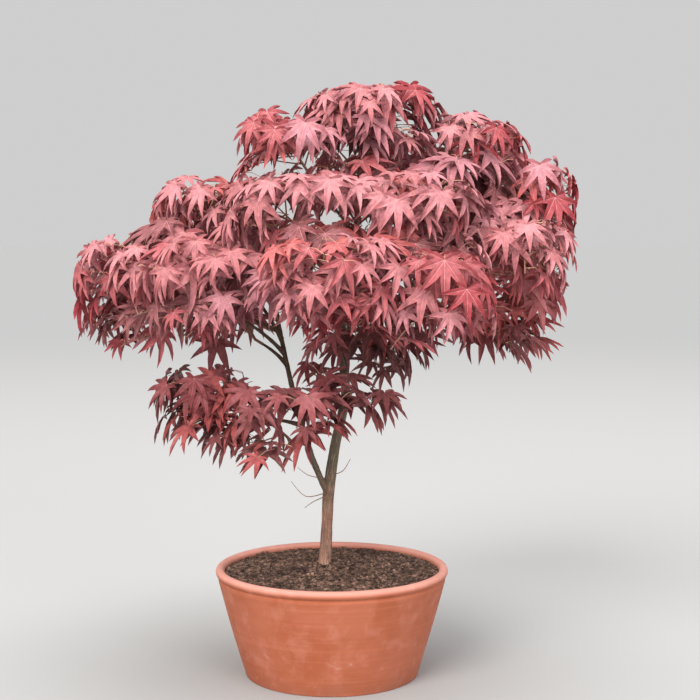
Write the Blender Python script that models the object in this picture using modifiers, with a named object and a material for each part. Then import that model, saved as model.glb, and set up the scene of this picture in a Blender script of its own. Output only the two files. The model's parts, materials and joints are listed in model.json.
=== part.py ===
"""A young Japanese maple with palmate leaves, planted in a wide terracotta pan.

Metres, +Z up. The origin is the centre of the pan's flat underside.
The trunk carries four main limbs, trunk and limbs carry boughs, and each bough ends
where it enters one mass of foliage. A mass is one solid: a stem, twigs and leaves.
"""

import math
import random

import bmesh
import bpy
from mathutils import Matrix, Vector
from mathutils.bvhtree import BVHTree

# ---------------------------------------------------------------- driving dimensions
SEED = 11
GAP = 0.0003  # between pieces that rest on each other

# pan
POT_HEIGHT = 0.210
POT_RADIUS = 0.225  # to the outside of the rolled rim
POT_FOOT_RADIUS = 0.168
POT_INSIDE_RADIUS = 0.158  # at the floor
POT_FLOOR = 0.014
RIM_ROLL = 0.0085  # half the width and half the height of the rolled rim
FOOT_CHAMFER = 0.003
POT_SIDES = 36
DRAIN_RADIUS = 0.007
DRAIN_CIRCLE = 0.090  # the three drain holes lie on this radius
DRAIN_COUNT = 3

# soil
SOIL_TOP = 0.2040
SOIL_EDGE_DROP = 0.003
SOIL_LEVEL_RADIUS = 0.060  # level round the trunk's foot

# trunk: points on its centreline and the radius at each
TRUNK_FOOT = Vector((-0.014, 0.015, SOIL_TOP + GAP))
TRUNK_FORK = Vector((-0.006, 0.015, 0.354))
TRUNK_ELBOW = Vector((0.026, 0.020, 0.535))
TRUNK_TIP = Vector((0.018, 0.020, 0.632))
TRUNK_FLARE_HEIGHT = 0.030
TRUNK_FLARE_RADIUS = 0.0150
TRUNK_RADII = {"foot": 0.0120, "fork": 0.0105, "elbow": 0.0090, "tip": 0.0075}

# foliage
LEAF_LENGTH = 0.088  # along the middle lobe
LEAF_THICKNESS = 0.0024
LEAF_VARIATION = 0.14
# each lobe's and notch's angle from the middle lobe, and its share of the leaf's length
LOBES = ((0, 1.00), (47, 0.90), (98, 0.62))
NOTCHES = ((23, 0.34), (72, 0.30))
HEEL = (152, 0.07)
LEAF_CUP = 0.16  # how far the lobe tips hang below the middle, as a share of the length
LEAF_DROOP_DEG = (28, 62)  # from level down to the middle lobe
LEAF_ROLL_DEG = 18
STALK_LENGTH = 0.030
STALK_RISE_DEG = (0, 30)
STALK_RADIUS = 0.0007
STALK_SPACING = 0.0030  # along the twig, between one stalk's root and the next
LEAVES_PER_SPRAY = 3
TRIES_PER_LEAF = 80
LEAF_SHRINK = 0.003  # each further try makes the leaf smaller by this share
SPRAY_TRIES = 900
SPRAY_ROOM_ABOVE = 0.010  # a spray's place keeps this much of its space round it
SPRAY_ROOM_BELOW = 0.050
SPRAY_ROOM_BESIDE = 0.050
STEM_LEAD = 0.020  # straight on from the bough
STEM_RISE = 0.05  # its middle bows up by this share of its length
STEM_RADII = (0.0034, 0.0034, 0.0030, 0.0022)
TWIG_RADII = (0.0018, 0.0016)
TWIG_SLANT = 0.6  # a twig leaves the stem this far back, as a share of its reach aside
TWIG_FIRST = 0.15  # shares of the stem's length
TWIG_LAST = 0.80
TWIG_SPACING = 0.006
SPACE_SQUARENESS = 3.0  # 2 is an ellipsoid, more is closer to a box
SPACE_MARGIN = 0.0006  # each mass keeps this far inside its space
LIMB_CLEARANCE = 0.0012

# ---------------------------------------------------------------- the tree's plan
# main limbs: what each leaves, how far along it (0 to 1), where it ends, how far its
# middle bows up, and its radius at root and tip
LIMBS = {
    "leader": ("trunk", 1.00, (0.055, 0.015, 0.930), 0.010, 0.0073, 0.0040),
    "left_limb": ("trunk", 0.34, (-0.104, 0.004, 0.690), -0.045, 0.0062, 0.0042),
    "right_limb": ("trunk", 0.93, (0.215, 0.010, 0.795), 0.020, 0.0058, 0.0040),
    "back_limb": ("trunk", 0.80, (0.040, 0.190, 0.770), 0.018, 0.0056, 0.0038),
}

# foliage masses: centre and half sizes of the space, the limb that its bough leaves and
# how far along, how many sprays of leaves, and which colour group it belongs to
MASSES = {
    "crown_top": ((0.078, 0.000, 1.055), (0.125, 0.115, 0.085), "leader", 1.00, 7, "sunlit"),
    "upper_left": ((-0.065, -0.040, 0.985), (0.112, 0.115, 0.098), "leader", 0.72, 7, "sunlit"),
    "upper_right": ((0.240, -0.010, 0.985), (0.125, 0.120, 0.095), "leader", 0.78, 7, "sunlit"),
    "upper_back": ((0.075, 0.185, 0.975), (0.140, 0.110, 0.100), "leader", 0.60, 7, "sunlit"),
    "right_end": ((0.370, 0.020, 0.890), (0.100, 0.125, 0.110), "right_limb", 1.00, 7, "sunlit"),
    "middle_left": ((-0.055, -0.165, 0.890), (0.125, 0.105, 0.085), "leader", 0.40, 6, "sunlit"),
    "middle_right": ((0.155, -0.165, 0.875), (0.125, 0.110, 0.090), "leader", 0.30, 7, "sunlit"),
    "left_shoulder": ((-0.225, 0.015, 0.862), (0.120, 0.120, 0.095), "left_limb", 1.00, 7, "sunlit"),
    "far_left": ((-0.390, -0.010, 0.742), (0.100, 0.125, 0.112), "left_limb", 0.92, 7, "sunlit"),
    "left_front": ((-0.240, -0.165, 0.755), (0.120, 0.115, 0.100), "left_limb", 0.80, 7, "sunlit"),
    "front_centre": ((-0.010, -0.285, 0.760), (0.125, 0.110, 0.090), "trunk", 0.90, 7, "sunlit"),
    "front_right": ((0.185, -0.265, 0.745), (0.110, 0.110, 0.095), "right_limb", 0.30, 6, "sunlit"),
    "right_front": ((0.335, -0.135, 0.800), (0.110, 0.110, 0.085), "right_limb", 0.75, 6, "sunlit"),
    "right_low": ((0.330, -0.040, 0.685), (0.115, 0.125, 0.085), "right_limb", 0.50, 6, "shaded"),
    "left_back": ((-0.225, 0.205, 0.805), (0.150, 0.130, 0.115), "left_limb", 0.88, 8, "sunlit"),
    "right_back": ((0.255, 0.215, 0.830), (0.145, 0.130, 0.120), "right_limb", 0.85, 8, "sunlit"),
    "back_centre": ((0.025, 0.330, 0.765), (0.135, 0.110, 0.110), "back_limb", 1.00, 7, "sunlit"),
    "back_low": ((0.110, 0.170, 0.640), (0.115, 0.105, 0.075), "back_limb", 0.60, 5, "shaded"),
    "left_under": ((-0.200, 0.060, 0.690), (0.095, 0.105, 0.085), "left_limb", 0.74, 5, "shaded"),
    "low_left": ((-0.230, -0.030, 0.512), (0.110, 0.105, 0.095), "left_limb", 0.40, 6, "shaded"),
    "low_middle": ((-0.100, -0.110, 0.482), (0.095, 0.090, 0.085), "left_limb", 0.28, 5, "shaded"),
    "low_right": ((0.045, -0.085, 0.575), (0.110, 0.090, 0.110), "trunk", 0.72, 6, "shaded"),
}
BOUGH_ROOT_RADIUS = 0.0042
BOUGH_TIP_RADIUS = 0.0026
BOUGH_LEAST = 0.020  # the shortest bough
BOUGH_ENTRY = 0.010  # a bough ends this far inside its mass's space
BOUGH_RISE = 0.10  # a bough's middle bows up by this share of its length
LIMB_POINTS = 5
TIP_LEAD = 1.5  # a limb that goes on from a tip runs straight for this many tip radii
CROWN_MIDDLE = Vector((0.03, 0.02, 0.80))  # leaves face away from here

# colour, roughness
FINISHES = {
    "terracotta": ((0.58, 0.24, 0.15), 0.85),
    "soil": ((0.060, 0.040, 0.032), 1.00),
    "bark": ((0.22, 0.15, 0.12), 0.80),
    "sunlit": ((0.55, 0.16, 0.19), 0.55),
    "shaded": ((0.15, 0.030, 0.040), 0.55),
}


# ---------------------------------------------------------------- scene and materials
def clear_scene():
    for obj in list(bpy.data.objects):
        bpy.data.objects.remove(obj)


def make_collection(name):
    collection = bpy.data.collections.new(name)
    bpy.context.scene.collection.children.link(collection)
    return collection


def make_material(name):
    colour, roughness = FINISHES[name]
    material = bpy.data.materials.new(name)
    material.use_nodes = True
    shader = material.node_tree.nodes["Principled BSDF"]
    shader.inputs["Base Color"].default_value = (*colour, 1.0)
    shader.inputs["Roughness"].default_value = roughness
    shader.inputs["Metallic"].default_value = 0.0
    material.diffuse_color = (*colour, 1.0)
    return material


def add_object(name, mesh, collection, material=None):
    obj = bpy.data.objects.new(name, mesh)
    collection.objects.link(obj)
    if material:
        mesh.materials.clear()
        mesh.materials.append(material)
    return obj


def evaluated_mesh(obj):
    bpy.context.view_layer.update()
    graph = bpy.context.evaluated_depsgraph_get()
    return bpy.data.meshes.new_from_object(obj.evaluated_get(graph))


def shade_round(mesh, sharp_degrees=40):
    mesh.shade_smooth()
    mesh.set_sharp_from_angle(angle=math.radians(sharp_degrees))


# ---------------------------------------------------------------- turned pieces
def turned(name, profile, collection, material):
    """A solid turned about Z from (radius, height) points that start and end on the axis."""
    mesh = bpy.data.meshes.new(name)
    points = [(radius, 0, height) for radius, height in profile]
    mesh.from_pydata(points, [(i, i + 1) for i in range(len(points) - 1)], [])
    obj = add_object(name, mesh, collection, material)
    screw = obj.modifiers.new("Turn", "SCREW")
    screw.steps = screw.render_steps = POT_SIDES
    screw.use_merge_vertices = True
    screw.merge_threshold = 0.0001
    screw.use_smooth_shade = True
    return obj


def inner_wall_radius(height):
    """The pan's inside radius, on a straight line from its floor to the middle of the roll."""
    share = (height - POT_FLOOR) / (POT_HEIGHT - RIM_ROLL - POT_FLOOR)
    return POT_INSIDE_RADIUS + (POT_RADIUS - 2 * RIM_ROLL - POT_INSIDE_RADIUS) * share


def make_pot(collection, material, cutters):
    rim_centre = (POT_RADIUS - RIM_ROLL, POT_HEIGHT - RIM_ROLL)
    roll = [math.radians(degrees) for degrees in range(180, -61, -40)]
    profile = [(0, POT_FLOOR), (POT_INSIDE_RADIUS, POT_FLOOR)]
    profile += [
        (rim_centre[0] + RIM_ROLL * math.cos(a), rim_centre[1] + RIM_ROLL * math.sin(a)) for a in roll
    ]
    profile += [
        (POT_RADIUS - RIM_ROLL / 2, POT_HEIGHT - 2 * RIM_ROLL - FOOT_CHAMFER),
        (POT_FOOT_RADIUS, FOOT_CHAMFER),
        (POT_FOOT_RADIUS - FOOT_CHAMFER, 0),
        (0, 0),
    ]
    pot = turned("pot", profile, collection, material)
    for hole in range(DRAIN_COUNT):
        angle = 2 * math.pi * hole / DRAIN_COUNT + math.pi / 2
        spot = (DRAIN_CIRCLE * math.cos(angle), DRAIN_CIRCLE * math.sin(angle), 0)
        bm = bmesh.new()
        bmesh.ops.create_cone(
            bm,
            cap_ends=True,
            segments=12,
            radius1=DRAIN_RADIUS,
            radius2=DRAIN_RADIUS,
            depth=4 * POT_FLOOR,
            matrix=Matrix.Translation(spot),
        )
        mesh = bpy.data.meshes.new("drain_cutter")
        bm.to_mesh(mesh)
        bm.free()
        cutter = add_object(f"drain_cutter_{hole}", mesh, cutters)
        cutter.hide_render = True
        cutter.display_type = "WIRE"
        cut = pot.modifiers.new(f"Drain {hole}", "BOOLEAN")
        cut.operation = "DIFFERENCE"
        cut.object = cutter
    return pot


def make_soil(collection, material):
    floor = POT_FLOOR + GAP
    edge = SOIL_TOP - SOIL_EDGE_DROP
    profile = [
        (0, SOIL_TOP),
        (SOIL_LEVEL_RADIUS, SOIL_TOP),
        (inner_wall_radius(edge) - 2 * GAP, edge),
        (inner_wall_radius(floor) - 2 * GAP, floor),
        (0, floor),
    ]
    return turned("soil", profile, collection, material)


# ---------------------------------------------------------------- limbs
def along(points, share):
    """The point at a share of a polyline's length."""
    steps = [(b - a).length for a, b in zip(points, points[1:])]
    left = share * sum(steps)
    for a, b, step in zip(points, points[1:], steps):
        if left <= step:
            return a.lerp(b, left / step)
        left -= step
    return points[-1].copy()


def bowed_path(start, end, rise, count=LIMB_POINTS):
    """A path whose middle is lifted by rise, as a quadratic curve."""
    middle = (start + end) / 2 + Vector((0, 0, 2 * rise))
    path = []
    for i in range(count):
        t = i / (count - 1)
        path.append(start * (1 - t) ** 2 + middle * (2 * t * (1 - t)) + end * t**2)
    return path


def path_from(carrier, share, end, rise):
    """A path that leaves a carrier at its share, or goes straight on from its tip at first."""
    start = along(carrier.path, share)
    if share < 1:
        return bowed_path(start, end, rise)
    start = start + carrier.tip_direction() * GAP
    turn = start + carrier.tip_direction() * carrier.radii[-1] * TIP_LEAD
    return [start] + bowed_path(turn, end, rise, LIMB_POINTS - 1)


def tube_mesh(name, points, radii, bevel_resolution):
    """A closed tapering tube along the points, made as a bevelled curve."""
    curve = bpy.data.curves.new(name, "CURVE")
    curve.dimensions = "3D"
    curve.bevel_depth = 1.0
    curve.bevel_resolution = bevel_resolution
    curve.use_fill_caps = True
    spline = curve.splines.new("POLY")
    spline.points.add(len(points) - 1)
    for knot, place, radius in zip(spline.points, points, radii):
        knot.co = (*place, 1)
        knot.radius = radius
    helper = bpy.data.objects.new(name + "_curve", curve)
    bpy.context.scene.collection.objects.link(helper)
    mesh = evaluated_mesh(helper)
    bpy.data.objects.remove(helper)
    bm = bmesh.new()
    bm.from_mesh(mesh)
    bmesh.ops.remove_doubles(bm, verts=bm.verts, dist=0.00001)
    bmesh.ops.recalc_face_normals(bm, faces=bm.faces)
    bm.to_mesh(mesh)
    bm.free()
    return mesh


class Limb:
    """A trunk, main limb or bough: its centreline, its radii and its solid."""

    def __init__(self, name, path, radii, parent=None, bevel_resolution=1):
        self.name = name
        self.path = path
        self.radii = radii
        self.parent = parent
        self.bevel_resolution = bevel_resolution

    def tip_direction(self):
        return (self.path[-1] - self.path[-2]).normalized()

    def grown(self, by):
        """The limb's own tube made thicker by a clearance."""
        radii = [radius + by for radius in self.radii]
        return tube_mesh(self.name + "_grown", self.path, radii, self.bevel_resolution)

    def make(self, collection, cutters, material):
        mesh = tube_mesh(self.name, self.path, self.radii, self.bevel_resolution)
        shade_round(mesh)
        obj = add_object(self.name, mesh, collection, material)
        if self.parent:
            cutter = add_object(self.name + "_seat", self.parent.grown(GAP), cutters)
            cutter.hide_render = True
            cutter.display_type = "WIRE"
            seat = obj.modifiers.new("Seat", "BOOLEAN")
            seat.operation = "DIFFERENCE"
            seat.object = cutter
        return obj


def make_trunk():
    """The trunk: upright for its first step, so that its foot is cut level with the soil."""
    flare_top = TRUNK_FOOT.lerp(TRUNK_FORK, TRUNK_FLARE_HEIGHT / (TRUNK_FORK - TRUNK_FOOT).length)
    first = TRUNK_FOOT + Vector((0, 0, TRUNK_FLARE_HEIGHT * 0.35))
    knots = [TRUNK_FOOT, first, flare_top, TRUNK_FOOT.lerp(TRUNK_FORK, 0.6)]
    knots += [TRUNK_FORK, TRUNK_FORK.lerp(TRUNK_ELBOW, 0.5) + Vector((-0.003, 0, 0))]
    knots += [TRUNK_ELBOW, TRUNK_ELBOW.lerp(TRUNK_TIP, 0.55) + Vector((0.001, 0, 0)), TRUNK_TIP]
    foot, fork, elbow, tip = (TRUNK_RADII[part] for part in ("foot", "fork", "elbow", "tip"))
    half_flare = (TRUNK_FLARE_RADIUS + foot) / 2 - 0.0006
    radii = [TRUNK_FLARE_RADIUS, half_flare, foot, (foot + fork) / 2 - 0.0004]
    radii += [fork + 0.0006, fork - 0.0006, elbow, (elbow + tip) / 2, tip]
    return Limb("trunk", knots, radii, bevel_resolution=4)


def tapered(root_radius, tip_radius, count=LIMB_POINTS):
    return [root_radius + (tip_radius - root_radius) * i / (count - 1) for i in range(count)]


def make_main_limbs(trunk):
    limbs = {"trunk": trunk}
    for name, (parent, share, end, rise, root_radius, tip_radius) in LIMBS.items():
        carrier = limbs[parent]
        path = path_from(carrier, share, Vector(end), rise)
        seat = carrier if share < 1 else None
        limbs[name] = Limb(name, path, tapered(root_radius, tip_radius), seat, bevel_resolution=2)
    return limbs


# ---------------------------------------------------------------- spaces
class Space:
    """The room of one mass: a squarish ellipsoid, cut by a plane towards each other mass."""

    def __init__(self, name, centre, radii):
        self.name = name
        self.centre = Vector(centre)
        self.radii = Vector(radii)
        self.planes = []

    def reach(self, direction):
        """How far the ellipsoid reaches from its centre along a direction."""
        unit = direction.normalized()
        power = sum(abs(unit[i] / self.radii[i]) ** SPACE_SQUARENESS for i in range(3))
        return power ** (-1 / SPACE_SQUARENESS)

    def part_from(self, other):
        """Adds the plane between this space and another, placed by their sizes."""
        line = other.centre - self.centre
        own, theirs = self.reach(line), other.reach(line)
        if own + theirs < line.length:
            return
        normal = line.normalized()
        self.planes.append((normal, self.centre + line * own / (own + theirs) - normal * SPACE_MARGIN))

    def holds(self, point, margin=0.0):
        offset = point - self.centre
        sides = [abs(offset[i]) / (self.radii[i] - margin) for i in range(3)]
        if sum(side**SPACE_SQUARENESS for side in sides) > 1:
            return False
        return all(normal.dot(point - place) < -margin for normal, place in self.planes)


def make_spaces():
    spaces = {name: Space(name, row[0], row[1]) for name, row in MASSES.items()}
    for space in spaces.values():
        for other in spaces.values():
            if other is not space:
                space.part_from(other)
    return spaces


def entry_point(start, space):
    """Where a bough from start enters the space, a little inside it."""
    run = space.centre - start
    share = BOUGH_LEAST / run.length
    while share < 1 and not space.holds(start + run * share, margin=BOUGH_ENTRY):
        share += 0.02
    return start + run * share


def make_boughs(limbs, spaces):
    """One bough for each mass, from its limb to where it enters the mass's space."""
    boughs = {}
    for name, (_, _, carrier_name, share, _, _) in MASSES.items():
        carrier = limbs[carrier_name]
        start = along(carrier.path, share)
        end = entry_point(start, spaces[name])
        path = path_from(carrier, share, end, BOUGH_RISE * (end - start).length * 0.5)
        seat = carrier if share < 1 else None
        root = min(BOUGH_ROOT_RADIUS, carrier.radii[-1] - GAP)
        radii = tapered(root, BOUGH_TIP_RADIUS)
        boughs[name] = Limb(name + "_bough", path, radii, seat)
    return boughs


# ---------------------------------------------------------------- twigs and leaves
def mesh_from(bm, name):
    mesh = bpy.data.meshes.new(name)
    bm.to_mesh(mesh)
    bm.free()
    return mesh


def tree_of(mesh):
    points = [vert.co.copy() for vert in mesh.vertices]
    return BVHTree.FromPolygons(points, [tuple(face.vertices) for face in mesh.polygons])


def limb_trees(limbs):
    """Each limb's tube grown by the clearance, to test twigs and leaves against."""
    trees = []
    for limb in limbs:
        mesh = limb.grown(LIMB_CLEARANCE)
        trees.append(tree_of(mesh))
        bpy.data.meshes.remove(mesh)
    return trees


def touches(tree, others):
    return any(tree.overlap(other) for other in others)


def draw_out(bm, face, end, radius):
    """Draws a face out into a tapering stretch whose own end face lies round a point."""
    drawn = bmesh.ops.extrude_discrete_faces(bm, faces=[face])["faces"][0]
    middle = drawn.calc_center_median()
    turn = drawn.normal.rotation_difference(end - middle)
    for vert in drawn.verts:
        spoke = turn @ (vert.co - middle)
        vert.co = end + spoke.normalized() * radius
    drawn.normal_update()
    return drawn


def twig_mesh(name, path, radii):
    """A three-sided twig along a path."""
    run = path[1] - path[0]
    bm = bmesh.new()
    bmesh.ops.create_cone(
        bm,
        cap_ends=True,
        segments=3,
        radius1=radii[0],
        radius2=radii[1],
        depth=run.length,
        matrix=Matrix.Translation((path[0] + path[1]) / 2) @ run.to_track_quat("Z", "Y").to_matrix().to_4x4(),
    )
    end = min(bm.faces, key=lambda face: (face.calc_center_median() - path[1]).length)
    for point, radius in zip(path[2:], radii[2:]):
        end = draw_out(bm, end, point, radius)
    return mesh_from(bm, name)


def leaf_rim(length):
    """The points of a leaf's rim in order of angle, the middle lobe along X and the face up."""
    half = [row for row in sorted(LOBES + NOTCHES + (HEEL,)) if row[0] > 0]
    rim = []
    for angle, share in [(-angle, share) for angle, share in reversed(half)] + [(0, 1.0)] + half:
        out, turn = length * share, math.radians(angle)
        rim.append(Vector((out * math.cos(turn), out * math.sin(turn), -LEAF_CUP * out * share)))
    return rim


def leaf_mesh(name, length, pose, stalk_root):
    """A palmate leaf with its stalk: a double cone whose rim is drawn out into hanging lobes.

    The stalk is drawn out of the face under the blade's heel, to a root inside the twig.
    Also gives the blade alone, to be tested against twigs.
    """
    points = leaf_rim(length)
    bm = bmesh.new()
    bmesh.ops.create_cone(
        bm, cap_ends=True, segments=len(points), radius1=1.0, radius2=0.0, depth=LEAF_THICKNESS
    )
    bmesh.ops.remove_doubles(bm, verts=bm.verts, dist=0.00001)
    bmesh.ops.poke(bm, faces=[max(bm.faces, key=lambda face: len(face.verts))])
    rim = sorted((v for v in bm.verts if v.co.xy.length > 0.5), key=lambda v: math.atan2(v.co.y, v.co.x))
    for vert, point in zip(rim, points):
        vert.co = point
    under = min((vert for vert in bm.verts if vert not in rim), key=lambda vert: vert.co.z)
    bm.transform(pose)
    bmesh.ops.recalc_face_normals(bm, faces=bm.faces)
    blade = BVHTree.FromBMesh(bm)
    heel = next(face for face in bm.faces if {rim[0], rim[-1], under} == set(face.verts))
    draw_out(bm, heel, stalk_root, STALK_RADIUS)
    return mesh_from(bm, name), blade


def leaf_pose(place, heading, droop, roll):
    """A leaf's matrix: its middle lobe runs along the heading and hangs by the droop."""
    level = Vector((math.cos(heading), math.sin(heading), 0))
    forward = level * math.cos(droop) - Vector((0, 0, math.sin(droop)))
    up = level * math.sin(droop) + Vector((0, 0, math.cos(droop)))
    frame = Matrix((forward, up.cross(forward), up)).transposed().to_4x4()
    return Matrix.Translation(place) @ Matrix.Rotation(roll, 4, forward) @ frame


def spray_fits(space, point):
    """Whether a spray's leaves would mostly stay inside the space."""
    tests = [Vector((0, 0, SPRAY_ROOM_ABOVE)), Vector((0, 0, -SPRAY_ROOM_BELOW))]
    for quarter in range(4):
        turn = math.pi * quarter / 2
        side = Vector((math.cos(turn), math.sin(turn), 0)) * SPRAY_ROOM_BESIDE
        tests.append(side - Vector((0, 0, SPRAY_ROOM_BELOW / 2)))
    return all(space.holds(point + test) for test in tests)


def spray_places(space, count, rng):
    """Even but irregular places for the sprays, each the farthest of some random ones."""
    fitting = []
    for _ in range(SPRAY_TRIES):
        point = space.centre + Vector([rng.uniform(-1, 1) * radius for radius in space.radii])
        if spray_fits(space, point):
            fitting.append(point)
    places = [fitting[0]]
    for _ in range(count - 1):
        batch = rng.sample(fitting, len(fitting) // 2)
        places.append(max(batch, key=lambda point: min((point - other).length for other in places)))
    return places


def stem_path(root, direction, end):
    """The stem's path: on from its bough, then in a bow to its own spray."""
    knot = root + direction * STEM_LEAD
    return [root] + bowed_path(knot, end, (end - knot).length * STEM_RISE, 3)


def twig_shares(path, places):
    """How far along the stem each twig leaves it: a step behind the point nearest its end."""
    run = path[-1] - path[0]
    shares = []
    for place in places:
        reach = (place - path[0]).dot(run) / run.length_squared
        aside = (place - path[0] - run * reach).length / run.length
        shares.append(min(max(reach - aside * TWIG_SLANT, TWIG_FIRST), TWIG_LAST))
    order = sorted(range(len(places)), key=shares.__getitem__)
    for before, after in zip(order, order[1:]):
        shares[after] = max(shares[after], shares[before] + TWIG_SPACING / run.length)
    return shares


def grow_mass(name, space, bough, sprays, wood, rng):
    """The meshes of one mass: its stem, the twigs that leave it, and the leaves at their tips."""
    direction = bough.tip_direction()
    root = bough.path[-1] + direction * GAP
    places = spray_places(space, sprays, rng)
    places.sort(key=lambda place: (place - root).length)
    path = stem_path(root, direction, places.pop())
    twigs = [twig_mesh(name + "_stem", path, STEM_RADII)]
    tips = [(path[-1], (path[-1] - path[-2]).normalized())]
    for place, share in zip(places, twig_shares(path, places)):
        start = along(path, share)
        twig = twig_mesh(name + "_twig", [start, place], TWIG_RADII)
        if touches(tree_of(twig), wood):
            continue
        twigs.append(twig)
        tips.append((place, (place - start).normalized()))
    return twigs + grow_leaves(name, tips, space, [tree_of(twig) for twig in twigs], wood, rng)


def grow_leaves(name, tips, space, twig_trees, wood, rng):
    """Leaves round each twig's tip, turned until they fit, or left out."""
    leaves, leaf_trees = [], []
    for number in range(LEAVES_PER_SPRAY):
        for tip, run in tips:
            outward = tip - CROWN_MIDDLE
            heading = math.atan2(outward.y, outward.x) + 2 * math.pi * number / LEAVES_PER_SPRAY
            root = tip - run * STALK_SPACING * (number + 0.5)
            for attempt in range(TRIES_PER_LEAF):
                length, pose = leaf_trial(root, heading, attempt, rng)
                if not all(space.holds(pose @ point) for point in leaf_rim(length)):
                    continue
                leaf, blade = leaf_mesh(name + "_leaf", length, pose, root)
                tree = tree_of(leaf)
                if touches(tree, wood) or touches(tree, leaf_trees) or touches(blade, twig_trees):
                    continue
                leaves.append(leaf)
                leaf_trees.append(tree)
                break
    return leaves


def leaf_trial(root, heading, attempt, rng):
    """A length and a pose for a leaf. Each further try may turn it farther from its heading."""
    spread = 0.25 + 0.10 * attempt
    heading += rng.uniform(-spread, spread)
    droop = math.radians(rng.uniform(*LEAF_DROOP_DEG))
    roll = math.radians(rng.uniform(-LEAF_ROLL_DEG, LEAF_ROLL_DEG))
    rise = math.radians(rng.uniform(*STALK_RISE_DEG))
    length = LEAF_LENGTH * (1 + rng.uniform(-LEAF_VARIATION, LEAF_VARIATION) - LEAF_SHRINK * attempt)
    level = Vector((math.cos(heading), math.sin(heading), 0))
    lift = level * math.cos(rise) + Vector((0, 0, math.sin(rise)))
    blade = root + lift * STALK_LENGTH * rng.uniform(0.7, 1.3)
    return length, leaf_pose(blade, heading, droop, roll)


def keep_one_shell(mesh):
    """Drops loose scraps and fills sealed hollows, which are the smaller shells."""
    bm = bmesh.new()
    bm.from_mesh(mesh)
    left = set(bm.faces)
    shells = []
    while left:
        shell, front = [], [left.pop()]
        while front:
            face = front.pop()
            shell.append(face)
            for edge in (edge for edge in face.edges if len(edge.link_faces) == 2):
                for other in edge.link_faces:
                    if other in left:
                        left.discard(other)
                        front.append(other)
        shells.append(shell)
    shells.sort(key=len)
    for shell in shells[:-1]:
        bmesh.ops.delete(bm, geom=shell, context="FACES")
    bm.to_mesh(mesh)
    bm.free()
    return len(shells) - 1


def fuse(name, meshes, collection, material):
    """Joins a mass's meshes into one solid by one union on a collection."""
    pieces = make_collection(name + "_pieces")
    for number, mesh in enumerate(meshes[1:]):
        pieces.objects.link(bpy.data.objects.new(f"{name}_piece_{number}", mesh))
    obj = add_object(name, meshes[0], collection, material)
    union = obj.modifiers.new("Join", "BOOLEAN")
    union.operation = "UNION"
    union.operand_type = "COLLECTION"
    union.collection = pieces
    union.solver = "MANIFOLD"
    joined = evaluated_mesh(obj)
    obj.modifiers.clear()
    obj.data = joined
    for piece in list(pieces.objects):
        bpy.data.objects.remove(piece)
    bpy.data.collections.remove(pieces)
    dropped = keep_one_shell(joined)
    joined.materials.clear()
    joined.materials.append(material)
    print(f"{name}: {len(meshes)} pieces, {len(joined.polygons)} faces, {dropped} shells dropped")
    return obj


# ---------------------------------------------------------------- build
def build():
    clear_scene()
    plant = make_collection("potted_japanese_maple")
    cutters = make_collection("cutters")
    materials = {name: make_material(name) for name in FINISHES}

    make_pot(plant, materials["terracotta"], cutters)
    make_soil(plant, materials["soil"])

    limbs = make_main_limbs(make_trunk())
    spaces = make_spaces()
    boughs = make_boughs(limbs, spaces)
    wood = list(limbs.values()) + list(boughs.values())
    for limb in wood:
        limb.make(plant, cutters, materials["bark"])

    trees = limb_trees(wood)
    for number, (name, row) in enumerate(MASSES.items()):
        rng = random.Random(SEED + number)
        meshes = grow_mass(name, spaces[name], boughs[name], row[4], trees, rng)
        fuse(name, meshes, plant, materials[row[5]])


build()
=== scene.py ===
# Potted maple: a terracotta pan of potting soil, the barked wood, and the twigs, stalks and leaves on it.
# Metres, +Z up, with the origin under the middle of the pan.
import json
import math
import random
from collections import namedtuple
from itertools import product

import bmesh
import bpy
from mathutils import Matrix, Vector, noise
from mathutils.bvhtree import BVHTree
from mathutils.kdtree import KDTree

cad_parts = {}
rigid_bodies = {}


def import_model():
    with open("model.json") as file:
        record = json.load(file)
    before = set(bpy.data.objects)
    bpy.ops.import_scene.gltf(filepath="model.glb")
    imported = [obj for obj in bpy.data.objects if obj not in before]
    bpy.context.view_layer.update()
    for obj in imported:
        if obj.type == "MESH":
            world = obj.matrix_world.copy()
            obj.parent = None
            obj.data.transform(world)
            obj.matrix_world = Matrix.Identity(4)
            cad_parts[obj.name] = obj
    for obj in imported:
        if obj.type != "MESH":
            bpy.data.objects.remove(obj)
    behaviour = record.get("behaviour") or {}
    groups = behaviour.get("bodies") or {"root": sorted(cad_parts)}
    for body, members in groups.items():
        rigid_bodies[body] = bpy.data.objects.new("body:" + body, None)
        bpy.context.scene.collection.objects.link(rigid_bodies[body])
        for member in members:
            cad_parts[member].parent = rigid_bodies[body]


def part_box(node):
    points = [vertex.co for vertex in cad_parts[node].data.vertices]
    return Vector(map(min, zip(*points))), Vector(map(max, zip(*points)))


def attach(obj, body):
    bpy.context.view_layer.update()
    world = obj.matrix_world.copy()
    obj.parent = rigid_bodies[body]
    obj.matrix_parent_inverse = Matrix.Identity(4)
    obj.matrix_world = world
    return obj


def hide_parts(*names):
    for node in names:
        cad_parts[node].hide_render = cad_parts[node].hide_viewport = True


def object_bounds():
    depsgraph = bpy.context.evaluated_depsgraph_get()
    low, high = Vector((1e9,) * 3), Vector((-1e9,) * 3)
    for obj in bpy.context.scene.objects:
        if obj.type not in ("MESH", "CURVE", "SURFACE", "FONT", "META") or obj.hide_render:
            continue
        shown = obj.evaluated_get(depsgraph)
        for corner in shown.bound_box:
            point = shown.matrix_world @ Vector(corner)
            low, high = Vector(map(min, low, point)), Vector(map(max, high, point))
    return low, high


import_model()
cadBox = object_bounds()
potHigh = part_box("pot")[1]
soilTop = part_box("soil")[1].z
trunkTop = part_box("trunk")[1].z


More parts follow.
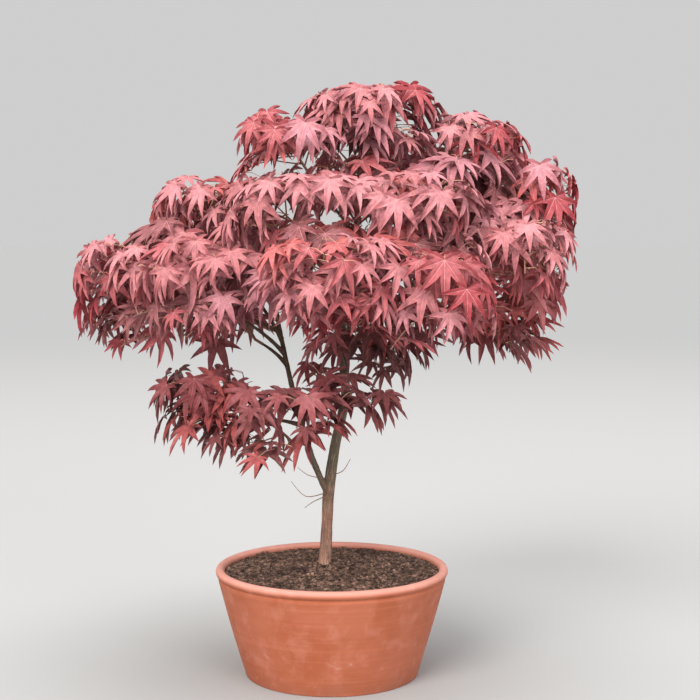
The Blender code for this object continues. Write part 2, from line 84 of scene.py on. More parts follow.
# adding nodes, for materials and for geometry alike
class Wire:  # one value in a node tree; arithmetic on it adds Math nodes
    def __init__(self, board, socket):
        self.board = board
        self.socket = socket

    def maths(self, operation, *values):
        return self.board.add("ShaderNodeMath", {"operation": operation}, dict(enumerate(values)))

    def __add__(self, other):
        return self.maths("ADD", self, other)

    def __mul__(self, other):
        return self.maths("MULTIPLY", self, other)

    def __sub__(self, other):
        return self.maths("SUBTRACT", self, other)

    def __rsub__(self, other):
        return self.maths("SUBTRACT", other, self)

    def __pow__(self, other):
        return self.maths("POWER", self, other)

    __radd__ = __add__
    __rmul__ = __mul__

    def between(self, low, high):  # 0 at low, 1 at high, smooth between
        sockets = {"Value": self, "From Min": low, "From Max": high}
        return self.board.add("ShaderNodeMapRange", {"interpolation_type": "SMOOTHSTEP"}, sockets)


class Board:  # a node tree and the one way that nodes are added to it
    def __init__(self, tree):
        self.tree = tree

    def add(self, kind, settings=None, sockets=None, output=0):
        node = self.tree.nodes.new(kind)
        for key, value in (settings or {}).items():
            setattr(node, key, value)
        for key, value in (sockets or {}).items():
            self.feed(node.inputs[key], value)
        return Wire(self, node.outputs[output])

    def feed(self, socket, value):
        if isinstance(value, Wire):
            self.tree.links.new(value.socket, socket)
        else:
            socket.default_value = value


class Finish(Board):  # a material on the Principled shader
    def __init__(self, name, **fixed):
        self.material = bpy.data.materials.new(name)
        self.material.use_nodes = True
        super().__init__(self.material.node_tree)
        self.shader = self.tree.nodes["Principled BSDF"]
        self.wear(**fixed)
        self.place = self.add("ShaderNodeTexCoord", output="Object")

    def stretched(self, place, scale):
        return self.add("ShaderNodeMapping", None, {"Vector": place, "Scale": scale})

    def grain(self, scale, detail=3, roughness=0.55, place=None, distortion=0.0):
        sockets = {"Vector": place or self.place, "Scale": scale, "Detail": detail}
        sockets |= {"Roughness": roughness, "Distortion": distortion}
        return self.add("ShaderNodeTexNoise", None, sockets)

    def cells(self, scale, place=None):
        sockets = {"Vector": place or self.place, "Scale": scale}
        return self.add("ShaderNodeTexVoronoi", {"feature": "F1"}, sockets, "Distance")

    def height(self):
        return self.add("ShaderNodeSeparateXYZ", None, {0: self.place}, "Z")

    def attribute(self, label, output="Fac"):
        return self.add("ShaderNodeAttribute", {"attribute_name": label}, None, output)

    def blend(self, share, first, second):
        sockets = {0: share, 6: colour4(first), 7: colour4(second)}
        return self.add("ShaderNodeMix", {"data_type": "RGBA"}, sockets, 2)

    def bump(self, height, distance, strength=1.0, under=None):
        sockets = {"Height": height, "Distance": distance, "Strength": strength}
        if under:
            sockets["Normal"] = under
        return self.add("ShaderNodeBump", None, sockets)

    def wear(self, **sockets):  # the shader's sockets, with _ for each space in their names
        for key, value in sockets.items():
            self.feed(self.shader.inputs[key.replace("_", " ")], value)
        return self.material


def colour4(colour):
    return colour if isinstance(colour, Wire) else (*colour, 1)


def toned(colour, share, more=0.0):
    return tuple(value * share + more for value in colour)


# a modifier's node tree: named inputs, what it makes, and its use on an object
class Maker(Board):
    def __init__(self, name, **inputs):
        super().__init__(bpy.data.node_groups.new(name, "GeometryNodeTree"))
        self.offer("Geometry", "INPUT", "Geometry")
        for label, kind in inputs.items():
            self.offer(label, "INPUT", kind)
        self.offer("Geometry", "OUTPUT", "Geometry")
        self.given = self.tree.nodes.new("NodeGroupInput")

    def offer(self, label, way, kind):
        self.tree.interface.new_socket(label, in_out=way, socket_type="NodeSocket" + kind)

    def input(self, label):
        return Wire(self, self.given.outputs[label])

    def attribute(self, label, kind):
        return self.add("GeometryNodeInputNamedAttribute", {"data_type": kind}, {"Name": label})

    def parts(self, label):  # a collection's objects, to pick from
        sockets = {0: self.input(label), "Separate Children": True, "Reset Children": True}
        return self.add("GeometryNodeCollectionInfo", None, sockets)

    def instances(self, **sockets):  # one of the parts on each point, made real
        sockets = {key.replace("_", " "): value for key, value in sockets.items()}
        placed = self.add("GeometryNodeInstanceOnPoints", None, {"Pick Instance": True, **sockets})
        return self.real(placed)

    def real(self, geometry):
        return self.add("GeometryNodeRealizeInstances", None, {0: geometry})

    def painted(self, geometry, label, **selection):
        sockets = {"Geometry": geometry, "Material": self.input(label), **selection}
        return self.add("GeometryNodeSetMaterial", None, sockets)

    def end(self, geometry):
        out = self.tree.nodes.new("NodeGroupOutput")
        self.feed(out.inputs["Geometry"], geometry)
        return self

    def makes(self, obj, **values):  # obj's mesh becomes what the tree makes of it
        grow = obj.modifiers.new(self.tree.name, "NODES")
        grow.node_group = self.tree
        for item in self.tree.interface.items_tree:
            if item.in_out == "INPUT" and item.name in values:
                grow[item.identifier] = values[item.name]
        return asPlainMesh(obj)


def asPlainMesh(obj):
    bpy.context.view_layer.update()
    graph = bpy.context.evaluated_depsgraph_get()
    result = obj.evaluated_get(graph)
    mesh = bpy.data.meshes.new_from_object(result, preserve_all_data_layers=True, depsgraph=graph)
    obj.modifiers.clear()
    obj.data = mesh
    mesh.name = obj.name
    return obj


def newObject(name, data, collection=None):
    obj = bpy.data.objects.new(name, data)
    (collection or bpy.context.scene.collection).objects.link(obj)
    return obj


def removeAll(objects):
    for obj in list(objects):
        bpy.data.objects.remove(obj)


def meshOf(name, points, faces, edges=()):
    mesh = bpy.data.meshes.new(name)
    mesh.from_pydata(points, edges, faces)
    return mesh


def meshFrom(bm, name):
    mesh = bpy.data.meshes.new(name)
    bm.to_mesh(mesh)
    bm.free()
    return mesh


def keep(mesh, label, kind, values):  # as an attribute of its points
    field = "vector" if kind == "FLOAT_VECTOR" else "value"
    mesh.attributes.new(label, kind, "POINT").data.foreach_set(field, values)


def coat(obj, finish):
    obj.data.materials.clear()
    obj.data.materials.append(finish)


def finished(obj, replaced=()):
    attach(obj, "root")
    if replaced:
        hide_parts(*replaced)
    triangles = sum(len(face.vertices) - 2 for face in obj.data.polygons)
    print(f"{obj.name}: {triangles} triangles")


def facing(angle):  # level, and one unit long
    return Vector((math.cos(angle), math.sin(angle), 0))


def upBy(height):
    return Vector((0, 0, height))


def clamped(value):
    return min(1, max(0, value))


def pointTree(points):
    tree = KDTree(len(points))
    for i, point in enumerate(points):
        tree.insert(point, i)
    tree.balance()
    return tree


# camera, lights and floor
view = {"place": (0.035, -3.0, 0.89), "tiltDegrees": 85, "lens": 81}
lamps = {  # suns, which shine from their place's direction; the wider the spread, the softer the shadows
    "keyLamp": {"place": (-1.4, -2.6, 2.6), "spreadDegrees": 32, "power": 2.85, "colour": (1.0, 0.97, 0.93)},
    "topLamp": {"place": (0.2, -0.2, 3.2), "spreadDegrees": 50, "power": 2.5, "colour": (1.0, 1.0, 1.0)},
    "fillLamp": {"place": (1.7, -2.8, 1.3), "spreadDegrees": 34, "power": 1.5, "colour": (0.96, 0.97, 1.0)},
}
studio = {
    "background": 0.62,
    "lampTarget": (0, 0, 0.6),
    "floorRadius": 40.0,
    "floorSides": 128,
    "nearFloor": (0.400, 0.397, 0.394),
    "farFloor": (0.308, 0.308, 0.310),  # about as bright as the background
    "fade": (0.9, 9.0),  # where the floor's colour starts and ends its change
}


def makeCamera():
    camera = newObject("camera", bpy.data.cameras.new("camera"))
    camera.data.lens = view["lens"]
    camera.location = view["place"]
    camera.rotation_euler = (math.radians(view["tiltDegrees"]), 0, 0)
    bpy.context.scene.camera = camera
    bpy.context.scene.view_settings.view_transform = "Standard"


def makeLamps():
    for name, lamp in lamps.items():
        light = bpy.data.lights.new(name, "SUN")
        light.angle = math.radians(lamp["spreadDegrees"])
        light.energy = lamp["power"]
        light.color = lamp["colour"]
        obj = newObject(name, light)
        obj.location = lamp["place"]
        aim = Vector(studio["lampTarget"]) - obj.location
        obj.rotation_euler = aim.to_track_quat("-Z", "Y").to_euler()
    world = bpy.data.worlds.new("studio")
    world.use_nodes = True
    sky = world.node_tree.nodes["Background"]
    sky.inputs["Color"].default_value = (1.0, 1.0, 1.0, 1)
    sky.inputs["Strength"].default_value = studio["background"]
    bpy.context.scene.world = world


def floorFinish():
    paint = Finish("paleFloor", Roughness=0.9, Specular_IOR_Level=0.0)  # equally bright from all sides
    away = paint.add("ShaderNodeVectorMath", {"operation": "LENGTH"}, {0: paint.place}, "Value")
    share = away.between(*studio["fade"])
    return paint.wear(Base_Color=paint.blend(share, studio["nearFloor"], studio["farFloor"]))


def makeFloor():
    sides, radius = studio["floorSides"], studio["floorRadius"]
    ring = [facing(2 * math.pi * i / sides) * radius for i in range(sides)]
    floor = newObject("floor", meshOf("floor", ring, [range(sides)]))
    coat(floor, floorFinish())


# the terracotta pan
pan = {
    "footRadius": 0.168,
    "insideRadius": 0.158,  # at its floor
    "floor": 0.014,
    "roll": 0.0085,  # half the width and height of the rolled rim
    "rollTurns": (170, -62, 22),  # first and last angle of its section, and points
    "grooveDepth": 0.0014,  # turned under the rim
    "groove": ((0.0, 0.0008), (0.0, 0.0022), (0.0010, 0.0040)),  # out from its neck and down from the rim
    "wallDrop": 0.006,  # where the wall starts, under the rim
    "belly": 0.0012,
    "footRound": 0.003,
    "footTurns": (-15, -90, 5),
    "floorRings": (0.05, 0.10, 0.145),
    "footRings": (0.12, 0.06),
    "insideSteps": 14,
    "outsideSteps": 44,
    "sides": 160,
    "uneven": 0.0007,  # thrown by hand
    "unevenScale": (1.3, 9),  # across it and up it
    "plainInside": 0.001,  # the inner wall stays even
    "throwingLines": 0.00022,
    "linesScale": (900, 40),  # of the lines and of their waver
    "drains": 3,
    "drainRadius": 0.007,
    "drainCircle": 0.090,
    "drainSides": 32,
}
panRadius = potHigh.x
panHeight = potHigh.z
rimCentre = (panRadius - pan["roll"], panHeight - pan["roll"])


def insideRadius(height):  # the inner wall is straight from the floor to the middle of the roll
    share = (height - pan["floor"]) / (rimCentre[1] - pan["floor"])
    return pan["insideRadius"] + (panRadius - 2 * pan["roll"] - pan["insideRadius"]) * share


def arc(centre, radius, first, last, count):
    turns = [math.radians(first + (last - first) * i / (count - 1)) for i in range(count)]
    return [(centre[0] + radius * math.cos(a), centre[1] + radius * math.sin(a)) for a in turns]


def panProfile():
    foot, roundness = pan["footRadius"], pan["footRound"]
    wallTop = rimCentre[1] - pan["roll"]
    profile = [(r, pan["floor"]) for r in pan["floorRings"]]
    for i in range(pan["insideSteps"] + 1):
        z = pan["floor"] + (rimCentre[1] - pan["floor"]) * i / pan["insideSteps"]
        profile.append((insideRadius(z), z))
    profile += arc(rimCentre, pan["roll"], *pan["rollTurns"])
    neck = panRadius - pan["roll"] * 0.5 - pan["grooveDepth"]
    profile += [(neck + out, wallTop - down) for out, down in pan["groove"]]
    lip = pan["groove"][-1][0]
    lineScale, waverScale = pan["linesScale"]
    for i in range(pan["outsideSteps"] + 1):
        share = i / pan["outsideSteps"]
        z = wallTop - pan["wallDrop"] + (roundness - wallTop + pan["wallDrop"]) * share
        belly = pan["belly"] * math.sin(math.pi * share)
        waver = 2 * noise.noise(upBy(z * waverScale))
        line = pan["throwingLines"] * math.sin(z * lineScale + waver)
        profile.append((neck + lip + (foot - neck - lip) * share + belly + line, z))
    profile += arc((foot - roundness, roundness), roundness, *pan["footTurns"])
    return profile + [(r, 0.0) for r in pan["footRings"]]


def ringFaces(rings, sides):  # round rings of points, closed by a point at each end
    faces = []
    last = 1 + (rings - 1) * sides
    for i in range(sides):
        j = (i + 1) % sides
        faces.append((0, 1 + i, 1 + j))
        for low in range(1, last, sides):
            faces.append((low + i, low + sides + i, low + sides + j, low + j))
        faces.append((last + j, last + i, last + sides))
    return faces


def lathe(name, profile, sides, wobble):
    points = [upBy(profile[0][1])]
    for r, z in profile:
        for i in range(sides):
            ring = facing(2 * math.pi * i / sides)
            points.append(ring * (r + wobble(ring, r, z)) + upBy(z))
    points.append(upBy(profile[-1][1]))
    return outward(meshOf(name, points, ringFaces(len(profile), sides)))


def outward(mesh):  # doubles merged, then normals pointed out
    bm = bmesh.new()
    bm.from_mesh(mesh)
    bmesh.ops.remove_doubles(bm, verts=bm.verts, dist=0.000005)
    bmesh.ops.recalc_face_normals(bm, faces=bm.faces)
    bm.to_mesh(mesh)
    bm.free()
    mesh.shade_smooth()
    return mesh


def handThrown(ring, radius, height):
    if radius < insideRadius(height) + pan["plainInside"]:
        return 0.0
    aside, along = pan["unevenScale"]
    place = Vector((ring.x * aside, ring.y * aside, height * along))
    return pan["uneven"] * noise.noise(place) - pan["uneven"] * 0.5


def terracottaFinish():
    clay = Finish("firedClay", Roughness=0.85)
    patches = clay.grain(9, 4, 0.6, distortion=0.6)
    colour = clay.blend(patches.between(0.35, 0.68), (0.355, 0.087, 0.034), (0.410, 0.116, 0.058))
    z = clay.height()
    bands = clay.grain(1.0, 2, place=clay.stretched(clay.place, (3, 3, 170)))
    colour = clay.blend(bands.between(0.45, 0.75) * 0.35, colour, (0.50, 0.15, 0.075))
    dusty = clay.grain(26, 5, 0.65).between(0.46, 0.70)
    pale = z.between(panHeight - 0.013, panHeight - 0.002) * 0.75 + dusty * 0.15
    colour = clay.blend(pale, colour, (0.77, 0.362, 0.295))
    lime = clay.grain(14, 6, 0.7, distortion=1.2).between(0.62, 0.78) * (1 - z.between(0.05, 0.17))
    colour = clay.blend(lime * 0.5, colour, (0.72, 0.56, 0.46))
    damp = (1 - z.between(0.0, 0.05)) * clay.grain(20, 3).between(0.3, 0.7)
    colour = clay.blend(damp * 0.5, colour, (0.30, 0.105, 0.06))
    specks = clay.cells(420).between(0.10, 0.22)
    colour = clay.blend((1 - specks) * 0.30, colour, (0.36, 0.13, 0.08))
    grit = clay.grain(950, 4, 0.7)
    pits = clay.cells(210).between(0.04, 0.20)
    relief = clay.bump(bands, 0.0006, 0.5)
    relief = clay.bump(grit * 0.6 + pits * 0.4, 0.0004, 0.7, relief)
    return clay.wear(Base_Color=colour, Roughness=0.78 + grit * 0.18 - damp * 0.12, Normal=relief)


def makeDrill(name, place):
    bm = bmesh.new()
    sizes = {"radius1": pan["drainRadius"], "radius2": pan["drainRadius"], "depth": pan["floor"] * 4}
    turn = Matrix.Translation(place)
    bmesh.ops.create_cone(bm, cap_ends=True, segments=pan["drainSides"], matrix=turn, **sizes)
    return newObject(name, meshFrom(bm, "drill"))


def makePan():
    obj = newObject("terracotta_pan", lathe("terracotta_pan", panProfile(), pan["sides"], handThrown))
    drills = []
    for i in range(pan["drains"]):
        place = facing(2 * math.pi * i / pan["drains"] + math.pi / 2) * pan["drainCircle"]
        drills.append(makeDrill(f"drill{i}", place))
        cut = obj.modifiers.new("drain", "BOOLEAN")
        cut.operation = "DIFFERENCE"
        cut.object = drills[-1]
    asPlainMesh(obj)
    removeAll(drills)
    coat(obj, terracottaFinish())
    finished(obj, ["pot"])


# potting soil: one closed body, with grains strewn on it
soil = {
    "edgeDrop": 0.003,
    "settled": 0.0020,  # how far its lumps' middle height is below its top
    "rings": 100,
    "ringSpread": 0.9,  # under 1, the rings stand closer towards the edge
    "sides": 320,
    "clump": 0.0048,
    "clumpScale": (40, 90),
    "crumb": 0.0015,
    "crumbScale": (210, 400),
    "moundRadius": 0.060,  # drawn up towards the trunk
    "moundHeight": 0.0120,
    "hollowRadius": 0.019,  # round the trunk
    "hollowDepth": 0.0045,
    "gap": 0.0008,
    "colours": ((0.060, 0.035, 0.026), (0.372, 0.218, 0.160)),
}
grains = {  # name of the finish, dark and light colour; then how many to the square metre, and their size
    "soil_crumbs": {
        "finish": ("crumbSoil", (0.050, 0.029, 0.021), (0.372, 0.218, 0.160)),
        "sizes": {"density": 15000, "least": 0.0007, "most": 0.0036, "seed": 3},
    },
    "soil_clods": {
        "finish": ("clodSoil", (0.060, 0.036, 0.027), (0.385, 0.237, 0.177)),
        "sizes": {"density": 6000, "least": 0.0014, "most": 0.0066, "seed": 5},
    },
    "soil_chips": {
        "finish": ("paleChips", (0.34, 0.26, 0.20), (0.60, 0.50, 0.42)),
        "sizes": {"density": 700, "least": 0.0006, "most": 0.0026, "seed": 8},
    },
}
grainShapes = {"count": 9, "stretch": (0.62, 1.2), "flatness": 0.75, "seed": 5}
trunkFoot = Vector((-0.014, 0.015, soilTop))


def soilHeight(x, y, share):  # and how much of it is lumps and dips
    place = Vector((x, y, 0))
    broad, close = soil["clumpScale"]
    lumps = 0.5 * noise.noise(place * broad) + noise.noise(place * close + Vector((3, 1, 0)))
    broad, close = soil["crumbScale"]
    crumbs = noise.noise(place * broad) + 0.7 * noise.noise(place * close)
    away = (place.xy - trunkFoot.xy).length
    mound = soil["moundHeight"] * math.exp(-((away / soil["moundRadius"]) ** 2))
    mound -= soil["hollowDepth"] * math.exp(-((away / soil["hollowRadius"]) ** 2))
    drop = soil["edgeDrop"] * share**3
    relief = lumps * soil["clump"] * 0.5 + crumbs * soil["crumb"]
    return soilTop - soil["settled"] - drop + mound + relief, relief


def soilFinish(name, dark, light):
    earth = Finish(name, Roughness=0.95, Specular_IOR_Level=0.2)
    damp = earth.grain(45, 3, 0.6)
    lumps = earth.grain(85, 3, 0.7)
    colour = earth.blend(damp.between(0.42, 0.58) * 0.4 + lumps.between(0.44, 0.57) * 0.6, dark, light)
    # broad dark patches at random: painted shade
    shadePatches = earth.grain(15, 2, 0.5, distortion=0.4).between(0.50, 0.62)
    colour = earth.blend(shadePatches * 0.6, colour, dark)
    # darker towards the cells' edges: painted shade in the gaps between crumbs
    crumbs = earth.cells(130)
    colour = earth.blend(crumbs.between(0.28, 0.62) * 0.6, colour, toned(dark, 0.3))
    # darker where the surface lies below its lumps' middle: painted shade in the pits
    dips = earth.attribute("dip").between(0.0, 0.0013)
    colour = earth.blend(dips * 0.95, colour, toned(dark, 0.1))
    fleck = earth.grain(520, 2, 0.5).between(0.63, 0.72)
    colour = earth.blend(fleck * 0.6, colour, toned(light, 1.6))
    grit = earth.grain(700, 5, 0.7)
    relief = earth.bump(grit + crumbs, 0.0009, 0.9)
    return earth.wear(Base_Color=colour, Roughness=0.86 + grit * 0.14, Normal=relief)


def soilPoints():  # from the middle of the top out to the edge, then down to the pan's floor
    rings, sides, gap = soil["rings"], soil["sides"], soil["gap"]
    edgeRadius = insideRadius(soilTop - soil["edgeDrop"]) - gap
    floorHeight = pan["floor"] + gap
    floorRadius = insideRadius(floorHeight) - gap
    height, relief = soilHeight(0, 0, 0)
    points, dips = [upBy(height)], [-relief]
    for k in range(1, rings + 1):
        share = (k / rings) ** soil["ringSpread"]
        for i in range(sides):
            a = 2 * math.pi * (i + 0.5 * (k % 2)) / sides
            r = edgeRadius * share
            x, y = r * math.cos(a), r * math.sin(a)
            height, relief = soilHeight(x, y, share)
            points.append(Vector((x, y, height)))
            dips.append(-relief)
    for i in range(sides):
        a = 2 * math.pi * (i + 0.5 * (rings % 2)) / sides
        points.append(Vector((floorRadius * math.cos(a), floorRadius * math.sin(a), floorHeight)))
    points.append(upBy(floorHeight))
    return points, dips + [0.0] * (sides + 1)


def makeSoil():
    points, dips = soilPoints()
    faces = ringFaces(soil["rings"] + 1, soil["sides"])
    mesh = meshOf("potting_soil", points, faces)
    # how far each point lies below its lumps' middle, darkened in the finish as painted shade
    keep(mesh, "dip", "FLOAT", dips)
    body = newObject("potting_soil", outward(mesh))
    coat(body, soilFinish("dampSoil", *soil["colours"]))
    strewn = 1 + (soil["rings"] - 1) * soil["sides"]  # all points inside the outermost ring
    strew(meshOf("bed", points[:strewn], [face for face in faces if max(face) < strewn]))
    finished(body, ["soil"])


def crumbShapes(finish):  # lumps of twenty faces
    rng = random.Random(grainShapes["seed"])
    collection = bpy.data.collections.new("crumbShapes")
    for i in range(grainShapes["count"]):
        bm = bmesh.new()
        bmesh.ops.create_icosphere(bm, subdivisions=1, radius=1.0)
        for vert in bm.verts:
            vert.co *= rng.uniform(*grainShapes["stretch"])
            vert.co.z *= grainShapes["flatness"]
        mesh = meshFrom(bm, "crumbShape")
        mesh.materials.append(finish)
        newObject(f"crumbShape{i}", mesh, collection)
    return collection


def crumbScatter():
    inputs = {"density": "Float", "least": "Float", "most": "Float", "seed": "Int"}
    maker = Maker("crumbScatter", shapes="Collection", finish="Material", **inputs)
    seed, least, most = maker.input("seed"), maker.input("least"), maker.input("most")
    sockets = {"Mesh": maker.input("Geometry"), "Density": maker.input("density"), "Seed": seed}
    points = maker.add("GeometryNodeDistributePointsOnFaces", None, sockets)
    sockets = {0: (0, 0, 0), 1: (math.tau,) * 3, "Seed": seed}
    turn = maker.add("FunctionNodeRandomValue", {"data_type": "FLOAT_VECTOR"}, sockets)
    sockets = {2: 0.0, 3: 1.0, "Seed": seed + 1}
    share = maker.add("FunctionNodeRandomValue", {"data_type": "FLOAT"}, sockets, 1)
    size = least + (most - least) * share**3
    lumps = maker.instances(Points=points, Instance=maker.parts("shapes"), Rotation=turn, Scale=size)
    return maker.end(maker.painted(lumps, "finish"))


def strew(bed):
    scatter = crumbScatter()
    for name, grain in grains.items():
        finish = soilFinish(*grain["finish"])
        shapes = crumbShapes(finish)
        strewn = scatter.makes(newObject(name, bed.copy()), shapes=shapes, finish=finish, **grain["sizes"])
        finished(strewn)
        removeAll(shapes.objects)


# the growth plan: limbs as carrier, share along it, end, rise of the middle, root and tip radius
limbRows = {
    "leader": ("trunk", 1.00, (0.055, 0.015, 0.930), 0.010, 0.0073, 0.0040),
    "left_limb": ("trunk", 0.34, (-0.104, 0.004, 0.690), -0.045, 0.0062, 0.0042),
    "right_limb": ("trunk", 0.93, (0.215, 0.010, 0.795), 0.020, 0.0058, 0.0040),
    "back_limb": ("trunk", 0.80, (0.040, 0.190, 0.770), 0.018, 0.0056, 0.0038),
}
# each mass of foliage: the middle and half sizes of its space, carrier, share along it, sprays, colours
massRows = {
    "crown_top": ((0.078, 0.000, 1.055), (0.125, 0.115, 0.085), "leader", 1.00, 7, "sunlit"),
    "upper_left": ((-0.065, -0.040, 0.985), (0.112, 0.115, 0.098), "leader", 0.72, 7, "sunlit"),
    "upper_right": ((0.240, -0.010, 0.985), (0.125, 0.120, 0.095), "leader", 0.78, 7, "sunlit"),
    "upper_back": ((0.075, 0.185, 0.975), (0.140, 0.110, 0.100), "leader", 0.60, 7, "sunlit"),
    "right_end": ((0.370, 0.020, 0.890), (0.100, 0.125, 0.110), "right_limb", 1.00, 7, "sunlit"),
    "middle_left": ((-0.055, -0.165, 0.890), (0.125, 0.105, 0.085), "leader", 0.40, 6, "sunlit"),
    "middle_right": ((0.155, -0.165, 0.875), (0.125, 0.110, 0.090), "leader", 0.30, 7, "sunlit"),
    "left_shoulder": ((-0.225, 0.015, 0.862), (0.120, 0.120, 0.095), "left_limb", 1.00, 7, "sunlit"),
    "far_left": ((-0.390, -0.010, 0.742), (0.100, 0.125, 0.112), "left_limb", 0.92, 7, "sunlit"),
    "left_front": ((-0.240, -0.165, 0.755), (0.120, 0.115, 0.100), "left_limb", 0.80, 7, "sunlit"),
    "front_centre": ((-0.010, -0.285, 0.760), (0.125, 0.110, 0.090), "trunk", 0.90, 7, "sunlit"),
    "front_right": ((0.185, -0.265, 0.745), (0.110, 0.110, 0.095), "right_limb", 0.30, 6, "sunlit"),
    "right_front": ((0.335, -0.135, 0.800), (0.110, 0.110, 0.085), "right_limb", 0.75, 6, "sunlit"),
    "right_low": ((0.330, -0.040, 0.685), (0.115, 0.125, 0.085), "right_limb", 0.50, 6, "shaded"),
    "left_back": ((-0.225, 0.205, 0.805), (0.150, 0.130, 0.115), "left_limb", 0.88, 8, "sunlit"),
    "right_back": ((0.255, 0.215, 0.830), (0.145, 0.130, 0.120), "right_limb", 0.85, 8, "sunlit"),
    "back_centre": ((0.025, 0.330, 0.765), (0.135, 0.110, 0.110), "back_limb", 1.00, 7, "sunlit"),
    "back_low": ((0.110, 0.170, 0.640), (0.115, 0.105, 0.075), "back_limb", 0.60, 5, "shaded"),
    "left_under": ((-0.200, 0.060, 0.690), (0.095, 0.105, 0.085), "left_limb", 0.74, 5, "shaded"),
    "low_left": ((-0.230, -0.030, 0.512), (0.110, 0.105, 0.095), "left_limb", 0.40, 6, "shaded"),
    "low_middle": ((-0.100, -0.110, 0.482), (0.095, 0.090, 0.085), "left_limb", 0.28, 5, "shaded"),
    "low_right": ((0.045, -0.085, 0.575), (0.110, 0.090, 0.110), "trunk", 0.72, 6, "shaded"),
}
Mass = namedtuple("Mass", "centre radii carrier share sprays group")
masses = {name: Mass(*row) for name, row in massRows.items()}
trunkPlan = {
    "fork": Vector((-0.006, 0.015, 0.354)),
    "elbow": Vector((0.026, 0.020, 0.535)),
    "tip": Vector((0.018, 0.020, trunkTop)),
    "flareHeight": 0.030,
    "flareRadius": 0.0150,
    "radii": (0.0120, 0.0105, 0.0090, 0.0075),  # foot, fork, elbow, tip
    "sunk": 0.006,  # how far the foot goes on into the soil
    "steps": 5,
}
boughPlan = {
    "root": 0.0042,
    "tip": 0.0026,
    "least": 0.020,
    "step": 0.02,  # as a share of the way to the space's middle
    "entry": 0.010,
    "rise": 0.05,
    "tipLead": 1.5,
}
crownMiddle = Vector((0.03, 0.02, 0.80))
crownReach = (0.40, 0.36, 0.30)
seeds = {"bark": 21, "firstMass": 100, "gaps": 77, "leafShapes": 31}


class Stick:  # a length of wood: its path, its radius at each point and its order of branching
    def __init__(self, name, path, radii, order):
        self.name = name
        self.path = path
        self.radii = radii
        self.order = order

    def along(self, share):
        steps = [(b - a).length for a, b in zip(self.path, self.path[1:])]
        left = share * sum(steps)
        for a, b, step in zip(self.path, self.path[1:], steps):
            if left <= step:
                return a.lerp(b, left / step)
            left -= step
        return self.path[-1].copy()

    def length(self):
        return sum((b - a).length for a, b in zip(self.path, self.path[1:]))

    def direction(self):
        return (self.path[-1] - self.path[-2]).normalized()


def bowed(start, end, rise, count):
    middle = (start + end) / 2 + upBy(2 * rise)
    shares = [i / (count - 1) for i in range(count)]
    return [start * (1 - t) ** 2 + middle * (2 * t * (1 - t)) + end * t**2 for t in shares]


def tapering(first, last, count):
    return [first + (last - first) * i / (count - 1) for i in range(count)]


def pathFrom(carrier, share, end, rise, count=9):  # from a carrier's tip it goes straight on at first
    start = carrier.along(share)
    if share < 1:
        return bowed(start, end, rise, count)
    turn = start + carrier.direction() * carrier.radii[-1] * boughPlan["tipLead"]
    return [start] + bowed(turn, end, rise, count - 1)


def growTrunk():
    foot, fork, elbow, tip = trunkFoot, trunkPlan["fork"], trunkPlan["elbow"], trunkPlan["tip"]
    footR, forkR, elbowR, tipR = trunkPlan["radii"]
    flare, height = trunkPlan["flareRadius"], trunkPlan["flareHeight"]
    rows = [  # places up the trunk, and its radius there: it swells a little at the flare and the fork
        (foot - upBy(trunkPlan["sunk"]), flare + 0.001),
        (foot, flare),
        (foot + upBy(height * 0.35), (flare + footR) / 2 - 0.0006),
        (foot.lerp(fork, height / (fork - foot).length), footR),
        (foot.lerp(fork, 0.6), (footR + forkR) / 2 - 0.0004),
        (fork, forkR + 0.0006),
        (fork.lerp(elbow, 0.5) + Vector((-0.003, 0, 0)), forkR - 0.0006),
        (elbow, elbowR),
        (elbow.lerp(tip, 0.55) + Vector((0.001, 0, 0)), (elbowR + tipR) / 2),
        (tip, tipR),
    ]
    return Stick("trunk", *smoothed(*zip(*rows), trunkPlan["steps"]), 0)


def smoothed(path, radii, steps):  # Catmull-Rom through the same points
    rows = [Vector((*p, r)) for p, r in zip(path, radii)]
    rows = [rows[0], *rows, rows[-1]]
    fine = []
    for a, b, c, d in zip(rows, rows[1:], rows[2:], rows[3:]):
        square = 2 * a - 5 * b + 4 * c - d
        cube = 3 * b - a - 3 * c + d
        for i in range(steps):
            t = i / steps
            fine.append(0.5 * (2 * b + (c - a) * t + square * t**2 + cube * t**3))
    fine.append(rows[-1])
    return [row.to_3d() for row in fine], [row[3] for row in fine]


class Space:  # the room of one mass: a squarish ellipsoid, cut by a plane towards each other mass
    squareness = 3.0

    def __init__(self, centre, radii):
        self.centre = Vector(centre)
        self.radii = Vector(radii)
        self.planes = []

    def reach(self, direction):
        unit = direction.normalized()
        power = sum(abs(unit[i] / self.radii[i]) ** self.squareness for i in range(3))
        return power ** (-1 / self.squareness)

    def partFrom(self, other):
        line = other.centre - self.centre
        own, theirs = self.reach(line), other.reach(line)
        if own + theirs >= line.length:
            self.planes.append((line.normalized(), self.centre + line * own / (own + theirs)))

    def inReach(self, point, margin=0.0):
        offset = point - self.centre
        if any(abs(value) > radius - margin for value, radius in zip(offset, self.radii)):
            return False
        return sum((abs(offset[i]) / (self.radii[i] - margin)) ** self.squareness for i in range(3)) <= 1

    def holds(self, point, margin=0.0):
        return self.inReach(point, margin) and all(n.dot(point - p) < -margin for n, p in self.planes)

    def somewhere(self, rng, more=0.0):  # in the box round it
        return self.centre + Vector([rng.uniform(-1, 1) * (radius + more) for radius in self.radii])


def makeSpaces():
    spaces = {name: Space(mass.centre, mass.radii) for name, mass in masses.items()}
    for space in spaces.values():
        for other in spaces.values():
            if other is not space:
                space.partFrom(other)
    return spaces


def growLimbs():
    limbs = {"trunk": growTrunk()}
    for name, (carrier, share, end, rise, rootRadius, tipRadius) in limbRows.items():
        path = pathFrom(limbs[carrier], share, Vector(end), rise, 13)
        limbs[name] = Stick(name, path, tapering(rootRadius, tipRadius, len(path)), 1)
    return limbs


